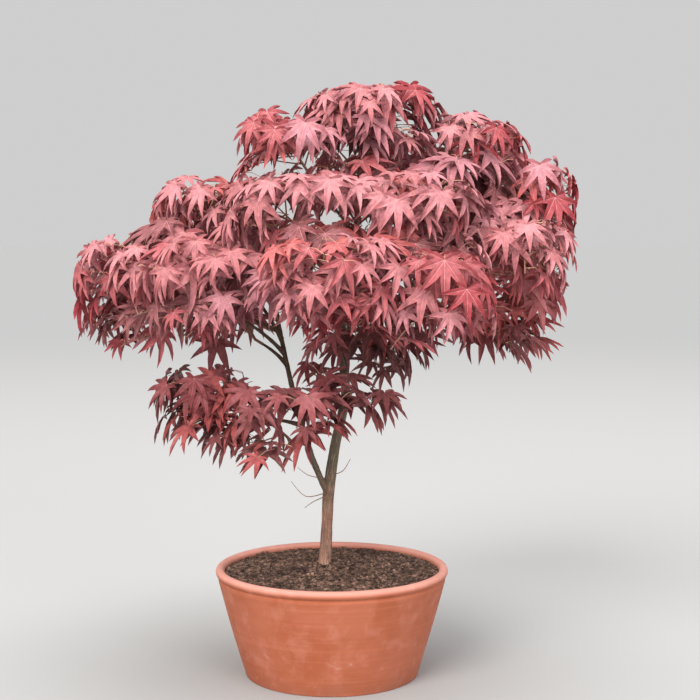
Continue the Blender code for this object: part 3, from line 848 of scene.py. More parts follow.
def growBoughs(limbs, spaces):  # each ends a little inside its mass's space
    boughs = {}
    for name, mass in masses.items():
        carrier, space = limbs[mass.carrier], spaces[name]
        start = carrier.along(mass.share)
        run = space.centre - start
        share = boughPlan["least"] / run.length
        while share < 1 and not space.holds(start + run * share, boughPlan["entry"]):
            share += boughPlan["step"]
        end = start + run * share
        path = pathFrom(carrier, mass.share, end, boughPlan["rise"] * (end - start).length)
        root = min(boughPlan["root"], carrier.radii[-1])
        boughs[name] = Stick(name + "_bough", path, tapering(root, boughPlan["tip"], len(path)), 2)
    return boughs


# the barked wood: trunk, limbs and boughs in one skin
barkSizes = {
    "voxel": 0.00135,
    "easeFactor": 0.5,
    "easeSteps": 3,
    "sides": 20,
    "step": 0.0025,  # between the points of a limb or bough
    "lineStep": 0.002,  # between the points that the relief is measured from
    "nodeEvery": 0.034,  # leaf-scar rings along limbs and boughs
    "firstNode": (0.3, 0.9),
    "nodeSwell": 0.10,
    "nodeWidth": 0.0028,
    "collarSwell": 0.35,  # where it leaves its carrier
    "collarWidth": 0.012,
    "ridges": {0: 0.00050, 1: 0.00028, 2: 0.00016},  # height of the relief by order
    "ridgeScale": (260, 38),  # across the wood and along it
    "fineScale": (620, 120),
    "fineShare": 0.6,
    "orderShift": 7,  # so that each order has ridges of its own
    "knotEye": (0.8, 9),  # how deep a knot's middle is, as a share of its height, and how narrow
}
knots = [  # places on the trunk: where, how wide, how far it stands out
    (Vector((-0.0135, 0.007, 0.340)), 0.0052, 0.0022),
    (Vector((-0.006, 0.004, 0.352)), 0.0045, 0.0018),
    (Vector((0.004, 0.005, 0.287)), 0.0035, 0.0012),
    (Vector((0.012, 0.010, 0.446)), 0.0040, 0.0014),
]


def carriedFrames(path):  # at each point the direction, and a side that is carried along without a twist
    side = Vector((1, 0, 0))
    frames = []
    for i in range(len(path)):
        run = (path[min(i + 1, len(path) - 1)] - path[max(i - 1, 0)]).normalized()
        side = (side - run * side.dot(run)).normalized()
        frames.append((run, side))
    return frames


def tube(bm, path, radii, sides):
    turns = [2 * math.pi * k / sides for k in range(sides)]
    rings = []
    for place, radius, (run, side) in zip(path, radii, carriedFrames(path)):
        up = run.cross(side)
        spokes = [side * math.cos(a) + up * math.sin(a) for a in turns]
        rings.append([bm.verts.new(place + spoke * radius) for spoke in spokes])
    for low, high in zip(rings, rings[1:]):
        for k in range(sides):
            bm.faces.new((low[k], low[k - 1], high[k - 1], high[k]))
    bm.faces.new(rings[0])
    bm.faces.new(rings[-1][::-1])


def ringed(stick, rng):  # finer points along it, with a swelling at each node
    length, apart = stick.length(), barkSizes["nodeEvery"]
    count = max(6, int(length / barkSizes["step"]))
    first = rng.uniform(*barkSizes["firstNode"]) * apart
    path, radii = [], []
    for i in range(count + 1):
        share = i / count
        radius = stick.radii[0] + (stick.radii[-1] - stick.radii[0]) * share
        gone = share * length - first
        nearest = gone - round(gone / apart) * apart
        swell = barkSizes["nodeSwell"] * math.exp(-((nearest / barkSizes["nodeWidth"]) ** 2))
        collar = barkSizes["collarSwell"] * math.exp(-share * length / barkSizes["collarWidth"])
        path.append(stick.along(share))
        radii.append(radius * (1 + swell + collar))
    return path, radii


def woodSkin(sticks, rng):
    bm = bmesh.new()
    for stick in sticks:
        path, radii = (stick.path, stick.radii) if stick.name == "trunk" else ringed(stick, rng)
        tube(bm, path, radii, barkSizes["sides"])
    skin = newObject("barked_wood", meshFrom(bm, "barked_wood"))
    shell = skin.modifiers.new("skin", "REMESH")
    shell.mode = "VOXEL"
    shell.voxel_size = barkSizes["voxel"]
    ease = skin.modifiers.new("ease", "SMOOTH")
    ease.factor = barkSizes["easeFactor"]
    ease.iterations = barkSizes["easeSteps"]
    return asPlainMesh(skin)


def centreline(sticks):  # places, each with its direction, side, way from the root, age and order
    rows = []
    for stick in sticks:
        length = stick.length()
        count = max(4, int(length / barkSizes["lineStep"]))
        places = [stick.along(i / count) for i in range(count + 1)]
        for i, (run, side) in enumerate(carriedFrames(places)):
            share = i / count
            rows.append((places[i], run, side, length * share, stick.order + share, stick.order))
    return rows


def ridge(here, scale, shift=0):
    across, along = scale
    return noise.noise(Vector((here.x * across, here.y * across, here.z * along)) + upBy(shift))


def knotted(height, place):  # the relief's height, with the knots added
    deep, narrow = barkSizes["knotEye"]
    for knot, width, stands in knots:
        apart = (place - knot).length / width
        height += stands * math.exp(-apart * apart) - deep * stands * math.exp(-apart * apart * narrow)
    return height


def addRelief(skin, sticks):  # ridges along the wood, and the place on the bark kept for its finish
    rows = centreline(sticks)
    lines = pointTree([row[0] for row in rows])
    mesh = skin.data
    onBark, ages = [], []
    normals = [vert.normal.copy() for vert in mesh.vertices]
    for vert, normal in zip(mesh.vertices, normals):
        place, run, side, gone, age, order = rows[lines.find(vert.co)[1]]
        offset = vert.co - place
        up = run.cross(side)
        here = Vector((offset.dot(side), offset.dot(up), gone + offset.dot(run)))
        onBark.extend(here)
        ages.append(age)
        coarse = ridge(here, barkSizes["ridgeScale"], order * barkSizes["orderShift"])
        fine = ridge(here, barkSizes["fineScale"])
        height = barkSizes["ridges"][order] * (coarse + barkSizes["fineShare"] * fine)
        vert.co += normal * knotted(height, vert.co)
    keep(mesh, "barkPlace", "FLOAT_VECTOR", onBark)
    keep(mesh, "youth", "FLOAT", ages)
    mesh.shade_smooth()


def barkFinish():
    bark = Finish("barkSkin", Roughness=0.8)
    place, youth = bark.attribute("barkPlace", "Vector"), bark.attribute("youth")
    z = bark.height()
    tan = bark.grain(34, 4, 0.6)
    colour = bark.blend(tan.between(0.38, 0.62), (0.255, 0.118, 0.077), (0.355, 0.186, 0.127))
    # above the fork the bark turns greener and darker: partly its own colour, partly painted shade under the
    # crown
    green = bark.grain(22, 3, 0.6).between(0.3, 0.7)
    upper = bark.blend(green, (0.092, 0.076, 0.043), (0.148, 0.113, 0.066))
    colour = bark.blend((z + tan * 0.10).between(0.33, 0.46), colour, upper)
    colour = bark.blend(youth.between(0.9, 2.2), colour, (0.105, 0.060, 0.036))
    streaks = bark.grain(1.0, 4, 0.6, place=bark.stretched(place, (520, 520, 42)))
    worn = 1 - youth.between(0.3, 1.4) * 0.7
    colour = bark.blend(streaks.between(0.52, 0.66) * worn * 0.5, colour, (0.60, 0.42, 0.32))
    patches = bark.grain(1.0, 3, 0.6, place=bark.stretched(place, (150, 150, 60)))
    colour = bark.blend((1 - patches.between(0.36, 0.50)) * 0.6, colour, (0.105, 0.062, 0.042))
    cracks = bark.grain(1.0, 5, 0.65, place=bark.stretched(place, (760, 760, 55)))
    colour = bark.blend((1 - cracks.between(0.34, 0.48)) * 0.8, colour, (0.060, 0.036, 0.025))
    dots = bark.cells(1.0, bark.stretched(place, (330, 330, 210)))
    colour = bark.blend((1 - dots.between(0.10, 0.20)) * 0.6, colour, (0.58, 0.47, 0.36))
    relief = bark.bump(streaks * 0.5 + cracks + patches * 0.4, 0.0016, 0.9)
    relief = bark.bump(bark.grain(1500, 4, 0.7) - dots.between(0.08, 0.22) * 0.6, 0.0003, 0.7, relief)
    return bark.wear(Base_Color=colour, Roughness=0.62 + cracks * 0.3, Normal=relief)


def makeWood(limbs, boughs):
    sticks = [*limbs.values(), *boughs.values()]
    skin = woodSkin(sticks, random.Random(seeds["bark"]))
    addRelief(skin, sticks)
    coat(skin, barkFinish())
    finished(skin, [stick.name for stick in sticks])


# twigs and stalks: lines with a radius at each point, which a node tree turns into tubes
twigPlan = {
    "stem": (0.0030, 0.0019),
    "stemLead": 0.020,
    "stemRise": 0.05,
    "twig": (0.0017, 0.0011),
    "slant": 0.6,  # a twig leaves the stem this far back, as a share of its reach aside
    "first": 0.15,  # no twig leaves the stem before this share of it
    "last": 0.80,
    "spacing": 0.006,  # between two twigs on the stem, at least
    "bow": 0.05,
    "bowSpread": (-0.4, 1),  # shares of the bow, some of them downwards
    "fine": (0.0012, 0.0009),
    "fineRise": 0.004,
    "nearest": 6,  # twigs that a fine twig may start from
    "bare": (0.0011, 0.0005),
    "shoot": (0.0010, 0.0006),
    "shootLength": (0.030, 0.048),
    "shootLeast": 0.012,  # it is shortened down to this, until it ends this far inside its space
    "shorten": 0.8,
    "shootRise": 0.002,
    "lift": (-0.35, 0.7, 0.5),  # the least and most of its twig's rise that counts, and a shoot's share
    "liftSpread": (-0.10, 0.18),
    "sideShare": 0.72,  # where a pair of side shoots leaves its twig
    "sideOver": 0.10,  # a longer twig counts as this long there
    "sideApart": 0.02,  # one of the pair is this share of the twig ahead, the other behind
    "sideDegrees": (38, 62),
    "sides": 6,
    "stalkSides": 4,
    "woodGap": 0.0008,  # kept free round the wood
}
sprayPlan = {
    "more": {"sunlit": 1.9, "shaded": 1.3},  # times the sprays that a mass's row says
    "tries": 900,
    "newTint": 0.3,  # how often a shoot takes a tint of its own
    "roomAbove": 0.010,
    "roomBelow": 0.045,
    "roomBeside": 0.042,
}
fillPlan = {
    "sprays": 84,
    "tries": 240,  # to the mass
    "slack": 0.022,
    "hang": 0.030,  # how far below a place its leaves' middles come
    "outer": 0.50,  # at least this share of the way out from the crown's middle
    "outside": 0.02,  # the box that places are drawn from is larger than the space by this
    "edge": 0.018,  # how far inside a space a place may lie
    "past": 0.012,  # and how far outside its own
}
leafPlan = {
    "length": 0.076,  # along the middle lobe
    "variation": 0.18,  # of its size, either way
    "poses": {"sunlit": (8, 76, 32), "shaded": (-12, 62, 45)},  # degrees: least and most droop, then roll
    "droopPower": 0.75,  # under 1, more blades hang far down
    "swing": 0.7,  # radians that a stalk may turn aside: half of it at first, more with each try
    "outwards": 0.45,  # how far a blade turns away from the crown's middle
    "stalkLength": (0.022, 0.040),
    "stalkRise": (-24, 34),
    "stalkBend": (0.55, 0.0040),  # share along it and rise there
    "levelFrom": 0.92,  # the height from which blades hang less,
    "levelOver": 0.20,  # the way up to where they hang least,
    "levelShare": 0.3,  # and by what share of their droop
    "slack": 0.012,  # how far leaf tips may pass the edge of a space
    "stalk": (0.00062, 0.00045),
    "pairs": ((0.45, 68), (1.0, 34)),  # share along the shoot and degrees from its line
    "tries": 22,
    "smaller": 0.36,  # by the last try
    "shapes": 9,
}
bareTwigs = [  # at the trunk's fork: three points of each
    ((-0.010, 0.010, 0.350), (-0.050, -0.004, 0.345), (-0.078, -0.008, 0.375)),
    ((-0.012, 0.010, 0.343), (-0.035, -0.010, 0.336), (-0.052, -0.022, 0.326)),
    ((-0.022, 0.012, 0.378), (-0.046, 0.000, 0.386), (-0.066, -0.006, 0.402)),
    ((0.003, 0.010, 0.385), (0.022, -0.008, 0.396), (0.036, -0.016, 0.420)),
]
skyHoles = [  # where the crown is open from front to back: x and z at its middle, and radius
    (-0.139, 0.968, 0.0120),
    (-0.096, 0.971, 0.0120),
    (-0.052, 0.979, 0.0131),
    (-0.090, 0.892, 0.0153),
    (-0.007, 0.879, 0.0131),
    (0.065, 0.868, 0.0088),
    (0.137, 1.048, 0.0110),
    (0.022, 1.003, 0.0120),
]
sight = {"first": 0.86, "step": 0.02, "points": 16}  # as shares of the way from the camera to a hole


def sightLine(x, z):  # through the crown at a hole, in line with the camera
    eye = Vector(view["place"])
    run = Vector((x, 0, z)) - eye
    return [eye + run * (sight["first"] + sight["step"] * i) for i in range(sight["points"])]


class Neighbours:  # what grows near a place, by cells a little larger than a leaf
    cell = 0.085

    def __init__(self):
        self.rooms = {}

    def key(self, point):
        return tuple(math.floor(value / self.cell) for value in point)

    def put(self, tree, points):
        for key in {self.key(point) for point in points}:
            self.rooms.setdefault(key, []).append(tree)

    def near(self, point):
        keys = product(*(range(i - 1, i + 2) for i in self.key(point)))
        return {id(tree): tree for key in keys for tree in self.rooms.get(key, ())}.values()


def stickTree(path, radii, grow=0.0):
    bm = bmesh.new()
    tube(bm, path, [radius + grow for radius in radii], 4)
    tree = BVHTree.FromBMesh(bm)
    bm.free()
    return tree


# degrees from the middle lobe, and share of its length
lobes = ((0, 1.00), (37, 0.94), (76, 0.74), (116, 0.44))
notches = ((19, 0.375), (56, 0.335), (97, 0.24))
heel = (150, 0.07)
leafCup = 0.22


def bothSides(rows):  # from the far left round to the far right
    return [(-angle, share) for angle, share in reversed(rows) if angle] + list(rows)


def hang(angle, share, lift=0.0):  # a point of the leaf, hanging further the further out it is
    turn = math.radians(angle)
    return Vector((share * math.cos(turn), share * math.sin(turn), lift - leafCup * share * share))


leafRimPoints = [hang(angle, share) for angle, share in bothSides(sorted((*lobes, *notches, heel)))]
leafRimFaces = [(i, (i + 1) % len(leafRimPoints), len(leafRimPoints)) for i in range(len(leafRimPoints))]
Leaf = namedtuple("Leaf", "place turn size shape group tint")


def leafPose(place, heading, droop, roll, size):
    level = facing(heading)
    forward = level * math.cos(droop) - upBy(math.sin(droop))
    up = level * math.sin(droop) + upBy(math.cos(droop))
    turn = Matrix((forward, up.cross(forward), up)).transposed().to_4x4()
    return Matrix.Translation(place) @ Matrix.Rotation(roll, 4, forward) @ turn @ Matrix.Scale(size, 4)


def leafTry(root, angle, group, ease, rng):  # a stalk's end, and the pose and size of the blade on it
    swing = leafPlan["swing"]
    heading = angle + rng.uniform(-swing, swing) * (0.5 + ease)
    rise = math.radians(rng.uniform(*leafPlan["stalkRise"]))
    level = math.cos(rise)
    out = Vector((math.cos(heading) * level, math.sin(heading) * level, math.sin(rise)))
    base = root + out * rng.uniform(*leafPlan["stalkLength"])
    low, high, most = leafPlan["poses"][group]
    flatter = leafPlan["levelShare"] * clamped((root.z - leafPlan["levelFrom"]) / leafPlan["levelOver"])
    droop = math.radians(low + (high - low) * (1 - flatter) * rng.random() ** leafPlan["droopPower"])
    roll = math.radians(rng.uniform(-1, 1) * most)
    size = leafPlan["length"] * (1 + rng.uniform(-1, 1) * leafPlan["variation"])
    size *= 1 - leafPlan["smaller"] * ease
    offset = base - crownMiddle
    away = math.atan2(offset.y, offset.x)
    turn = heading + leafPlan["outwards"] * math.remainder(away - heading, math.tau)
    return base, leafPose(base, turn, droop, roll, size), size


class Growth:  # everything that grows beyond the boughs
    def __init__(self, wood, spaces):
        self.twigs = []
        self.stalks = []
        self.leaves = []
        self.blades = []  # their middles
        self.slack = leafPlan["slack"]
        self.neighbours = Neighbours()
        self.spaces = spaces
        for stick in wood:
            self.neighbours.put(stickTree(stick.path, stick.radii, twigPlan["woodGap"]), stick.path)
        for x, z, radius in skyHoles:
            line = sightLine(x, z)
            self.neighbours.put(stickTree(line, [radius] * len(line)), line)

    def addTwig(self, path, first, last):
        radii = tapering(first, last, len(path))
        self.twigs.append((path, radii))
        self.neighbours.put(stickTree(path, radii), path)
        return Stick("twig", path, radii, 3)

    def inAnyReach(self, point, own, slack):
        if any(not low < value < high for low, value, high in zip(cadBox[0], point, cadBox[1])):
            return False
        return any(space.inReach(point, -slack) for space in (own, *self.spaces.values()))

    def addLeaf(self, root, line, side, space, group, tint, rng):
        angle = math.atan2(line.y, line.x) + side
        for attempt in range(leafPlan["tries"]):
            base, pose, size = leafTry(root, angle, group, attempt / leafPlan["tries"], rng)
            rim = [pose @ point for point in leafRimPoints]
            slack = rng.random() ** 2 * self.slack
            if not all(self.inAnyReach(point, space, slack) for point in rim):
                continue
            blade = BVHTree.FromPolygons(rim + [base], leafRimFaces)
            if any(blade.overlap(other) for other in self.neighbours.near(base)):
                continue
            self.blades.append(rim[len(rim) // 2].lerp(base, 0.5))
            self.neighbours.put(blade, [self.blades[-1], *rim])
            share, rise = leafPlan["stalkBend"]
            bend = root.lerp(base, share) + upBy(rise)
            self.stalks.append(([root, bend, base], tapering(*leafPlan["stalk"], 3)))
            shape = rng.randrange(leafPlan["shapes"])
            self.leaves.append(Leaf(base, pose.to_euler(), size, shape, group, tint))
            return

    def addShoot(self, root, direction, space, group, tint, rng):
        length, least = rng.uniform(*twigPlan["shootLength"]), twigPlan["shootLeast"]
        while length > least and not space.inReach(root + direction * length, least):
            length *= twigPlan["shorten"]
        path = bowed(root, root + direction * length, twigPlan["shootRise"], 4)
        before = len(self.leaves)
        shoot = self.addTwig(path, *twigPlan["shoot"])
        for share, degrees in leafPlan["pairs"]:
            for side in (-1, 1):
                angle = math.radians(degrees) * side
                self.addLeaf(shoot.along(share), direction, angle, space, group, tint, rng)
        if len(self.leaves) == before:  # a bare shoot is left out
            self.twigs.pop()

    def addMass(self, mass, space, bough, rng):
        root = bough.path[-1]
        places = sprayPlaces(space, round(mass.sprays * sprayPlan["more"][mass.group]), rng)
        places.sort(key=lambda place: (place - root).length)
        last = places.pop()
        knot = root + bough.direction() * twigPlan["stemLead"]
        path = [root] + bowed(knot, last, (last - knot).length * twigPlan["stemRise"], 8)
        stem = self.addTwig(path, *twigPlan["stem"])
        tips = [(stem, last)]
        for place, share in zip(places, twigShares(path, places)):
            start = stem.along(share)
            rise = (place - start).length * twigPlan["bow"] * rng.uniform(*twigPlan["bowSpread"])
            tips.append((self.addTwig(bowed(start, place, rise, 6), *twigPlan["twig"]), place))
        for twig, place in tips:
            self.addSpray(twig, place, space, mass.group, rng)

    def addSpray(self, twig, place, space, group, rng):  # three shoots, most of them in one tint
        before = len(self.leaves)
        tint = tintOf(place, space, group, rng)
        ahead = twig.direction()
        reach = 1 - (1 - twigPlan["sideShare"]) * min(1, twigPlan["sideOver"] / twig.length())
        for side in (0, -1, 1):
            if rng.random() < sprayPlan["newTint"]:
                tint = tintOf(place, space, group, rng)
            turn = math.radians(rng.uniform(*twigPlan["sideDegrees"])) * side
            root = twig.along(reach - twigPlan["sideApart"] * side) if side else place
            self.addShoot(root, shootLine(ahead, turn, rng), space, group, tint, rng)
        return len(self.leaves) - before

    def fillGaps(self, rng):  # more sprays, on fine twigs, where the leaves stand farthest apart
        self.slack = fillPlan["slack"]
        places, below = self.valleys(rng), upBy(fillPlan["hang"])
        for _ in range(fillPlan["sprays"]):
            leaves = pointTree(self.blades)
            places.sort(key=lambda row: leaves.find(row[0] - below)[2])
            if not places:
                return
            place, space = places.pop()
            twig = self.reachingTwig(place)
            if twig and not self.addSpray(twig, place, space, "sunlit", rng):
                self.twigs = [row for row in self.twigs if row[0] is not twig.path]

    def valleys(self, rng):  # places between the masses, near the crown's surface
        places = []
        for name, space in self.spaces.items():
            for _ in range(fillPlan["tries"] if masses[name].group == "sunlit" else 0):
                point = space.somewhere(rng, fillPlan["outside"])
                held = any(other.holds(point, fillPlan["edge"]) for other in self.spaces.values())
                near = space.inReach(point, -fillPlan["past"])
                if not held and near and outerShare(point) > fillPlan["outer"]:
                    places.append((point, space))
        return places

    def reachingTwig(self, place):  # from the nearest twig, if nothing is in the way
        near = sorted(self.twigs, key=lambda row: (row[0][-2] - place).length)
        for path, _ in near[: twigPlan["nearest"]]:
            run = bowed(path[-2], place, twigPlan["fineRise"], 6)
            tree = stickTree(run[1:], tapering(*twigPlan["fine"], len(run) - 1))
            if not any(tree.overlap(other) for point in run for other in self.neighbours.near(point)):
                return self.addTwig(run, *twigPlan["fine"])
        return None


def shootLine(ahead, turn, rng):
    least, most, share = twigPlan["lift"]
    level = Vector((ahead.x, ahead.y, 0))
    level = level.normalized() if level.length > 0.2 else Vector((1, 0, 0))
    rise = max(least, min(most, ahead.z)) * share + rng.uniform(*twigPlan["liftSpread"])
    return (Matrix.Rotation(turn, 3, "Z") @ level + upBy(rise)).normalized()


def sprayFits(space, point):
    tests = [upBy(sprayPlan["roomAbove"]), upBy(-sprayPlan["roomBelow"])]
    for quarter in range(4):
        side = facing(math.pi * quarter / 2) * sprayPlan["roomBeside"]
        tests.append(side - upBy(sprayPlan["roomBelow"] / 2))
    return all(space.holds(point + test) for test in tests)


def sprayPlaces(space, count, rng):  # each the farthest from the others of some random ones
    fitting = []
    for _ in range(sprayPlan["tries"]):
        point = space.somewhere(rng)
        if sprayFits(space, point):
            fitting.append(point)
    places = [fitting[0]]
    for _ in range(count - 1):
        batch = rng.sample(fitting, len(fitting) // 2)
        places.append(max(batch, key=lambda point: min((point - other).length for other in places)))
    return places


def twigShares(path, places):  # a twig leaves the stem a step behind the point nearest its end
    run = path[-1] - path[0]
    shares = []
    for place in places:
        reach = (place - path[0]).dot(run) / run.length_squared
        aside = (place - path[0] - run * reach).length / run.length
        shares.append(min(max(reach - aside * twigPlan["slant"], twigPlan["first"]), twigPlan["last"]))
    order = sorted(range(len(places)), key=shares.__getitem__)
    for before, after in zip(order, order[1:]):
        shares[after] = max(shares[after], shares[before] + twigPlan["spacing"] / run.length)
    return shares


# tints, dealt out by spray: colour, then how often it comes on sunny and on hidden sprays
# darker tints on hidden sprays are partly the leaves' own colour, partly painted shade
tints = {
    "sunlit": {
        "dustyRose": ((0.460, 0.152, 0.163), 0.40, 0.18),
        "rosePink": ((0.505, 0.190, 0.206), 0.30, 0.08),
        "coralRed": ((0.50, 0.118, 0.116), 0.07, 0.10),
        "mauvePink": ((0.47, 0.180, 0.207), 0.14, 0.07),
        "oldRose": ((0.40, 0.088, 0.098), 0.07, 0.30),
        "crimson": ((0.34, 0.046, 0.056), 0.01, 0.18),
        "duskPlum": ((0.28, 0.086, 0.092), 0.01, 0.32),
    },
    "shaded": {
        "emberRed": ((0.40, 0.086, 0.084), 0.44, 0.12),
        "duskRose": ((0.34, 0.090, 0.096), 0.38, 0.14),
        "plumRed": ((0.25, 0.064, 0.067), 0.14, 0.34),
        "purpleBrown": ((0.19, 0.062, 0.060), 0.02, 0.28),
        "wineRed": ((0.22, 0.042, 0.047), 0.02, 0.12),
    },
}
veinColours = {"sunlit": (0.60, 0.245, 0.25), "shaded": (0.31, 0.10, 0.10)}
tintPlan = {
    "outer": 1.15,  # over 1, full sun starts this much inside the crown's surface
    "byHeight": (0.35, 0.65),  # how sunny a spray is at the foot of its space, and what its top adds
    "low": (0.78, 0.12, 0.7),  # the crown's underside takes darker tints, as painted shade: from where, over what height, how much
    "shadedFrom": (0.54, 0.16),  # hidden masses take redder, brighter tints higher up and towards the sides: partly leaf colour, partly painted light
    "shadedAside": 0.25,
}


def outerShare(place):  # 0 in the middle of the crown, about 1 at its surface
    offset = place - crownMiddle
    return Vector([value / reach for value, reach in zip(offset, crownReach)]).length


def tintOf(place, space, group, rng):
    # the less sunny the spray, the darker its tint: partly leaf colour, partly painted shade
    height = 0.5 + 0.5 * (place.z - space.centre.z) / space.radii.z
    top, over, darker = tintPlan["low"]
    low = clamped((top - place.z) / over)
    foot, more = tintPlan["byHeight"]
    outer = min(1, outerShare(place) * tintPlan["outer"]) ** 2 * (foot + more * height) * (1 - darker * low)
    if group == "shaded":
        start, over = tintPlan["shadedFrom"]
        aside = min(1, abs(place.x - crownMiddle.x) / tintPlan["shadedAside"])
        outer = clamped((place.z - start) / over) * aside
    rows = list(tints[group].values())
    weights = [inner + (out - inner) * outer for _, out, inner in rows]
    return rng.choices(range(len(rows)), weights)[0]


def leafFinish(name, colour):
    leaf = Finish(name, Roughness=0.5, Specular_IOR_Level=0.35, Sheen_Weight=0.06)
    mottle = leaf.grain(120, 3, 0.6)
    pores = leaf.grain(900, 3, 0.6)
    blade = leaf.blend(mottle.between(0.3, 0.7), toned(colour, 0.80), toned(colour, 1.12, 0.01))
    veins = leaf.bump(pores * 0.5 + mottle, 0.0006, 0.5)
    return leaf.wear(Base_Color=blade, Roughness=0.42 + pores * 0.22, Normal=veins)


leafForm = {
    "stations": ((0.58, 0.098), (0.81, 0.050)),  # share along a lobe and half its width there
    "midrib": 0.38,  # share along a lobe where its midrib meets the palm
    "fold": 0.084,  # how far the midribs lie below the edges
    "middleFold": 0.3,  # shares of the fold: down at the leaf's middle, up at the notches
    "notchFold": 0.4,
    "vein": 0.0080,  # half the width of the pale midrib
    "veinLift": 0.0045,
    "angleJitter": 5,
    "lengthJitter": 0.07,
    "bendDegrees": 7,
    "tipCurl": 0.12,
    "curls": (0.2, 1),
    "widths": (0.88, 1.1),
    "widthByLength": (0.55, 0.45),
}


def leafShape(number, collection, finishes, rng):  # one leaf: seven lobes, each in two folded halves
    bm = bmesh.new()
    veined = bm.faces.layers.int.new("vein")
    fold = leafForm["fold"]
    rows = []
    for angle, share in bothSides(lobes):
        angle += rng.uniform(-1, 1) * leafForm["angleJitter"]
        share *= 1 + rng.uniform(-1, 1) * leafForm["lengthJitter"]
        rows.append((angle, share))
    gaps = [-heel[0]] + [(a[0] + b[0]) / 2 for a, b in zip(rows, rows[1:])] + [heel[0]]
    near = [share for _, share in bothSides((*notches, heel))]
    centre = bm.verts.new((0, 0, -fold * leafForm["middleFold"]))
    lift = fold * leafForm["notchFold"]
    corners = [bm.verts.new(hang(angle, share, lift)) for angle, share in zip(gaps, near)]
    for i, (angle, length) in enumerate(rows):
        addLobe(bm, centre, corners[i], corners[i + 1], angle, length, rng)
    for face in bm.faces:
        face.normal_update()
        if face.normal.z < 0:
            face.normal_flip()
        face.material_index = face[veined]
    mesh = meshFrom(bm, "leafShape")
    for finish in finishes:
        mesh.materials.append(finish)
    newObject(f"leafShape{number}", mesh, collection)


def addLobe(bm, centre, right, left, angle, length, rng):
    bend = rng.uniform(-1, 1) * leafForm["bendDegrees"]
    curl = rng.uniform(*leafForm["curls"]) * leafForm["tipCurl"]
    least, more = leafForm["widthByLength"]
    slim = rng.uniform(*leafForm["widths"]) * (least + more * length)
    half = leafForm["fold"] * 0.5
    aside = facing(math.radians(angle + 90))

    def onLobe(share, width, lift):
        point = hang(angle + bend * share * share, length * share, lift - curl * length * share**3)
        return bm.verts.new(point + aside * width)

    ribs = [centre, onLobe(leafForm["midrib"], 0, -half)]
    edges = {-1: [right], 1: [left]}
    for share, width in leafForm["stations"]:
        ribs.append(onLobe(share, 0, -half))
        for side, row in edges.items():
            row.append(onLobe(share, side * width * slim, half))
    tip = onLobe(1.0, 0, 0)
    for side, row in edges.items():
        faces = [(centre, ribs[1], row[0]), (ribs[1], ribs[2], row[1], row[0])]
        faces += [(ribs[2], ribs[3], row[2], row[1]), (ribs[3], tip, row[2])]
        for corners in faces:
            face = bm.faces.new(corners if side > 0 else corners[::-1])
            face.smooth = True
    for a, b in zip(ribs, ribs[1:] + [tip]):
        bm.edges.get((a, b)).smooth = False
    layVein(bm, [rib.co.copy() for rib in ribs], tip.co.copy(), aside)


def layVein(bm, ribs, tip, aside):  # a narrow strip just above the midrib
    lift = upBy(leafForm["veinLift"])
    veined = bm.faces.layers.int["vein"]
    rows = []
    for i, rib in enumerate(ribs):
        half = aside * leafForm["vein"] * (1 - i / len(ribs))
        rows.append([bm.verts.new(rib + lift + half), bm.verts.new(rib + lift - half)])
    end = bm.verts.new(ribs[-1].lerp(tip, 0.5) + lift * 0.5)
    for a, b in zip(rows, rows[1:]):
        bm.faces.new((a[0], a[1], b[1], b[0]))[veined] = 1
    bm.faces.new((*rows[-1], end))[veined] = 1


def twigTubes():
    maker = Maker("twigTubes", sides="Int", finish="Material")
    lines = maker.add("GeometryNodeMeshToCurve", None, {"Mesh": maker.input("Geometry")})
    sockets = {"Resolution": maker.input("sides"), "Radius": 1.0}
    profile = maker.add("GeometryNodeCurvePrimitiveCircle", None, sockets)
    sockets = {"Curve": lines, "Profile Curve": profile, "Fill Caps": True}
    sockets["Scale"] = maker.attribute("girth", "FLOAT")
    tubes = maker.real(maker.add("GeometryNodeCurveToMesh", None, sockets))
    return maker.end(maker.painted(tubes, "finish"))


def makeTubes(name, rows, sides, finish, maker):
    points, edges, girths = [], [], []
    for path, radii in rows:
        edges += [(len(points) + i, len(points) + i + 1) for i in range(len(path) - 1)]
        points += path
        girths += radii
    mesh = meshOf(name, points, [], edges)
    keep(mesh, "girth", "FLOAT", girths)
    obj = maker.makes(newObject(name, mesh), sides=sides, finish=finish)
    obj.data.shade_smooth()
    finished(obj)


def hangLeaves(labels):  # each blade in its own tint, each vein as its shape has it
    maker = Maker("hangLeaves", shapes="Collection", size="Float", **dict.fromkeys(labels, "Material"))
    turn = maker.add("FunctionNodeEulerToRotation", None, {0: maker.attribute("turn", "FLOAT_VECTOR")})
    leaves = maker.instances(
        Points=maker.input("Geometry"),
        Instance=maker.parts("shapes"),
        Instance_Index=maker.attribute("shape", "INT"),
        Rotation=turn,
        Scale=maker.attribute("share", "FLOAT") * maker.input("size"),
    )
    same = {"data_type": "INT", "operation": "EQUAL"}
    for i, label in enumerate(labels):
        chosen = maker.add("FunctionNodeCompare", same, {2: maker.attribute("tint", "INT"), 3: i})
        chosen = chosen * (1 - maker.attribute("vein", "INT"))
        leaves = maker.painted(leaves, label, Selection=chosen)
    return maker.end(leaves)


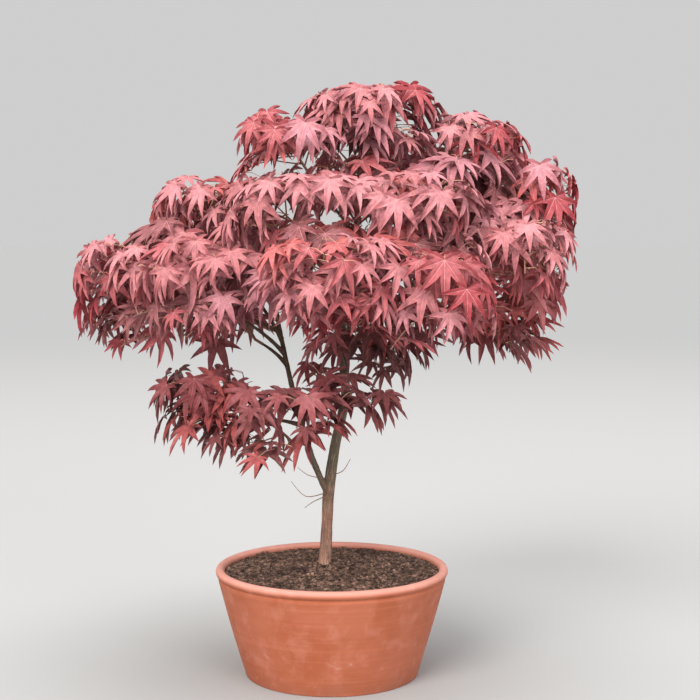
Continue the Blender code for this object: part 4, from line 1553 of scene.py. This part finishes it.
def makeLeaves(growth):
    for group, row in tints.items():
        rows = [leaf for leaf in growth.leaves if leaf.group == group]
        mesh = meshOf(group, [leaf.place for leaf in rows], [])
        keep(mesh, "turn", "FLOAT_VECTOR", [angle for leaf in rows for angle in leaf.turn])
        keep(mesh, "share", "FLOAT", [leaf.size / leafPlan["length"] for leaf in rows])
        keep(mesh, "shape", "INT", [leaf.shape for leaf in rows])
        keep(mesh, "tint", "INT", [leaf.tint for leaf in rows])
        finishes = {f"tint{i}": leafFinish(name, look[0]) for i, (name, look) in enumerate(row.items())}
        vein = leafFinish(group + "Vein", veinColours[group])
        shapes = bpy.data.collections.new(group + "Shapes")
        rng = random.Random(seeds["leafShapes"])
        for number in range(leafPlan["shapes"]):
            leafShape(number, shapes, (finishes["tint0"], vein), rng)
        leaves = newObject(group + "_leaves", mesh)
        hangLeaves(list(finishes)).makes(leaves, shapes=shapes, size=leafPlan["length"], **finishes)
        print(f"{len(rows)} {group} leaves")
        finished(leaves, [name for name, mass in masses.items() if mass.group == group])
        removeAll(shapes.objects)


def twigFinish():
    twig = Finish("twigBark", Roughness=0.6)
    streak = twig.grain(1.0, 3, 0.6, place=twig.stretched(twig.place, (260, 260, 90)))
    colour = twig.blend(streak.between(0.3, 0.7), (0.20, 0.085, 0.055), (0.36, 0.20, 0.13))
    return twig.wear(Base_Color=colour, Roughness=0.5 + streak * 0.2, Normal=twig.bump(streak, 0.0003, 0.6))


def stalkFinish():
    stalk = Finish("leafStalk", Roughness=0.45)
    blush = stalk.grain(40, 2)
    colour = stalk.blend(blush.between(0.35, 0.65), (0.72, 0.45, 0.30), (0.66, 0.30, 0.22))
    fine = stalk.grain(1400, 2)
    return stalk.wear(Base_Color=colour, Roughness=0.4 + fine * 0.15, Normal=stalk.bump(fine, 0.0001, 0.5))


makeCamera()
makeLamps()
makeFloor()
print("studio ready")
makePan()
makeSoil()
print("pan filled")
spaces = makeSpaces()
limbs = growLimbs()
boughs = growBoughs(limbs, spaces)
makeWood(limbs, boughs)
print("wood grown")
growth = Growth([*limbs.values(), *boughs.values()], spaces)
for seed, (name, mass) in enumerate(masses.items(), seeds["firstMass"]):
    growth.addMass(mass, spaces[name], boughs[name], random.Random(seed))
growth.fillGaps(random.Random(seeds["gaps"]))
for row in bareTwigs:
    growth.twigs.append(smoothed([Vector(point) for point in row], tapering(*twigPlan["bare"], 3), 4))
tubes = twigTubes()
makeTubes("twigs", growth.twigs, twigPlan["sides"], twigFinish(), tubes)
makeTubes("leaf_stalks", growth.stalks, twigPlan["stalkSides"], stalkFinish(), tubes)
makeLeaves(growth)
print("leaves hung")
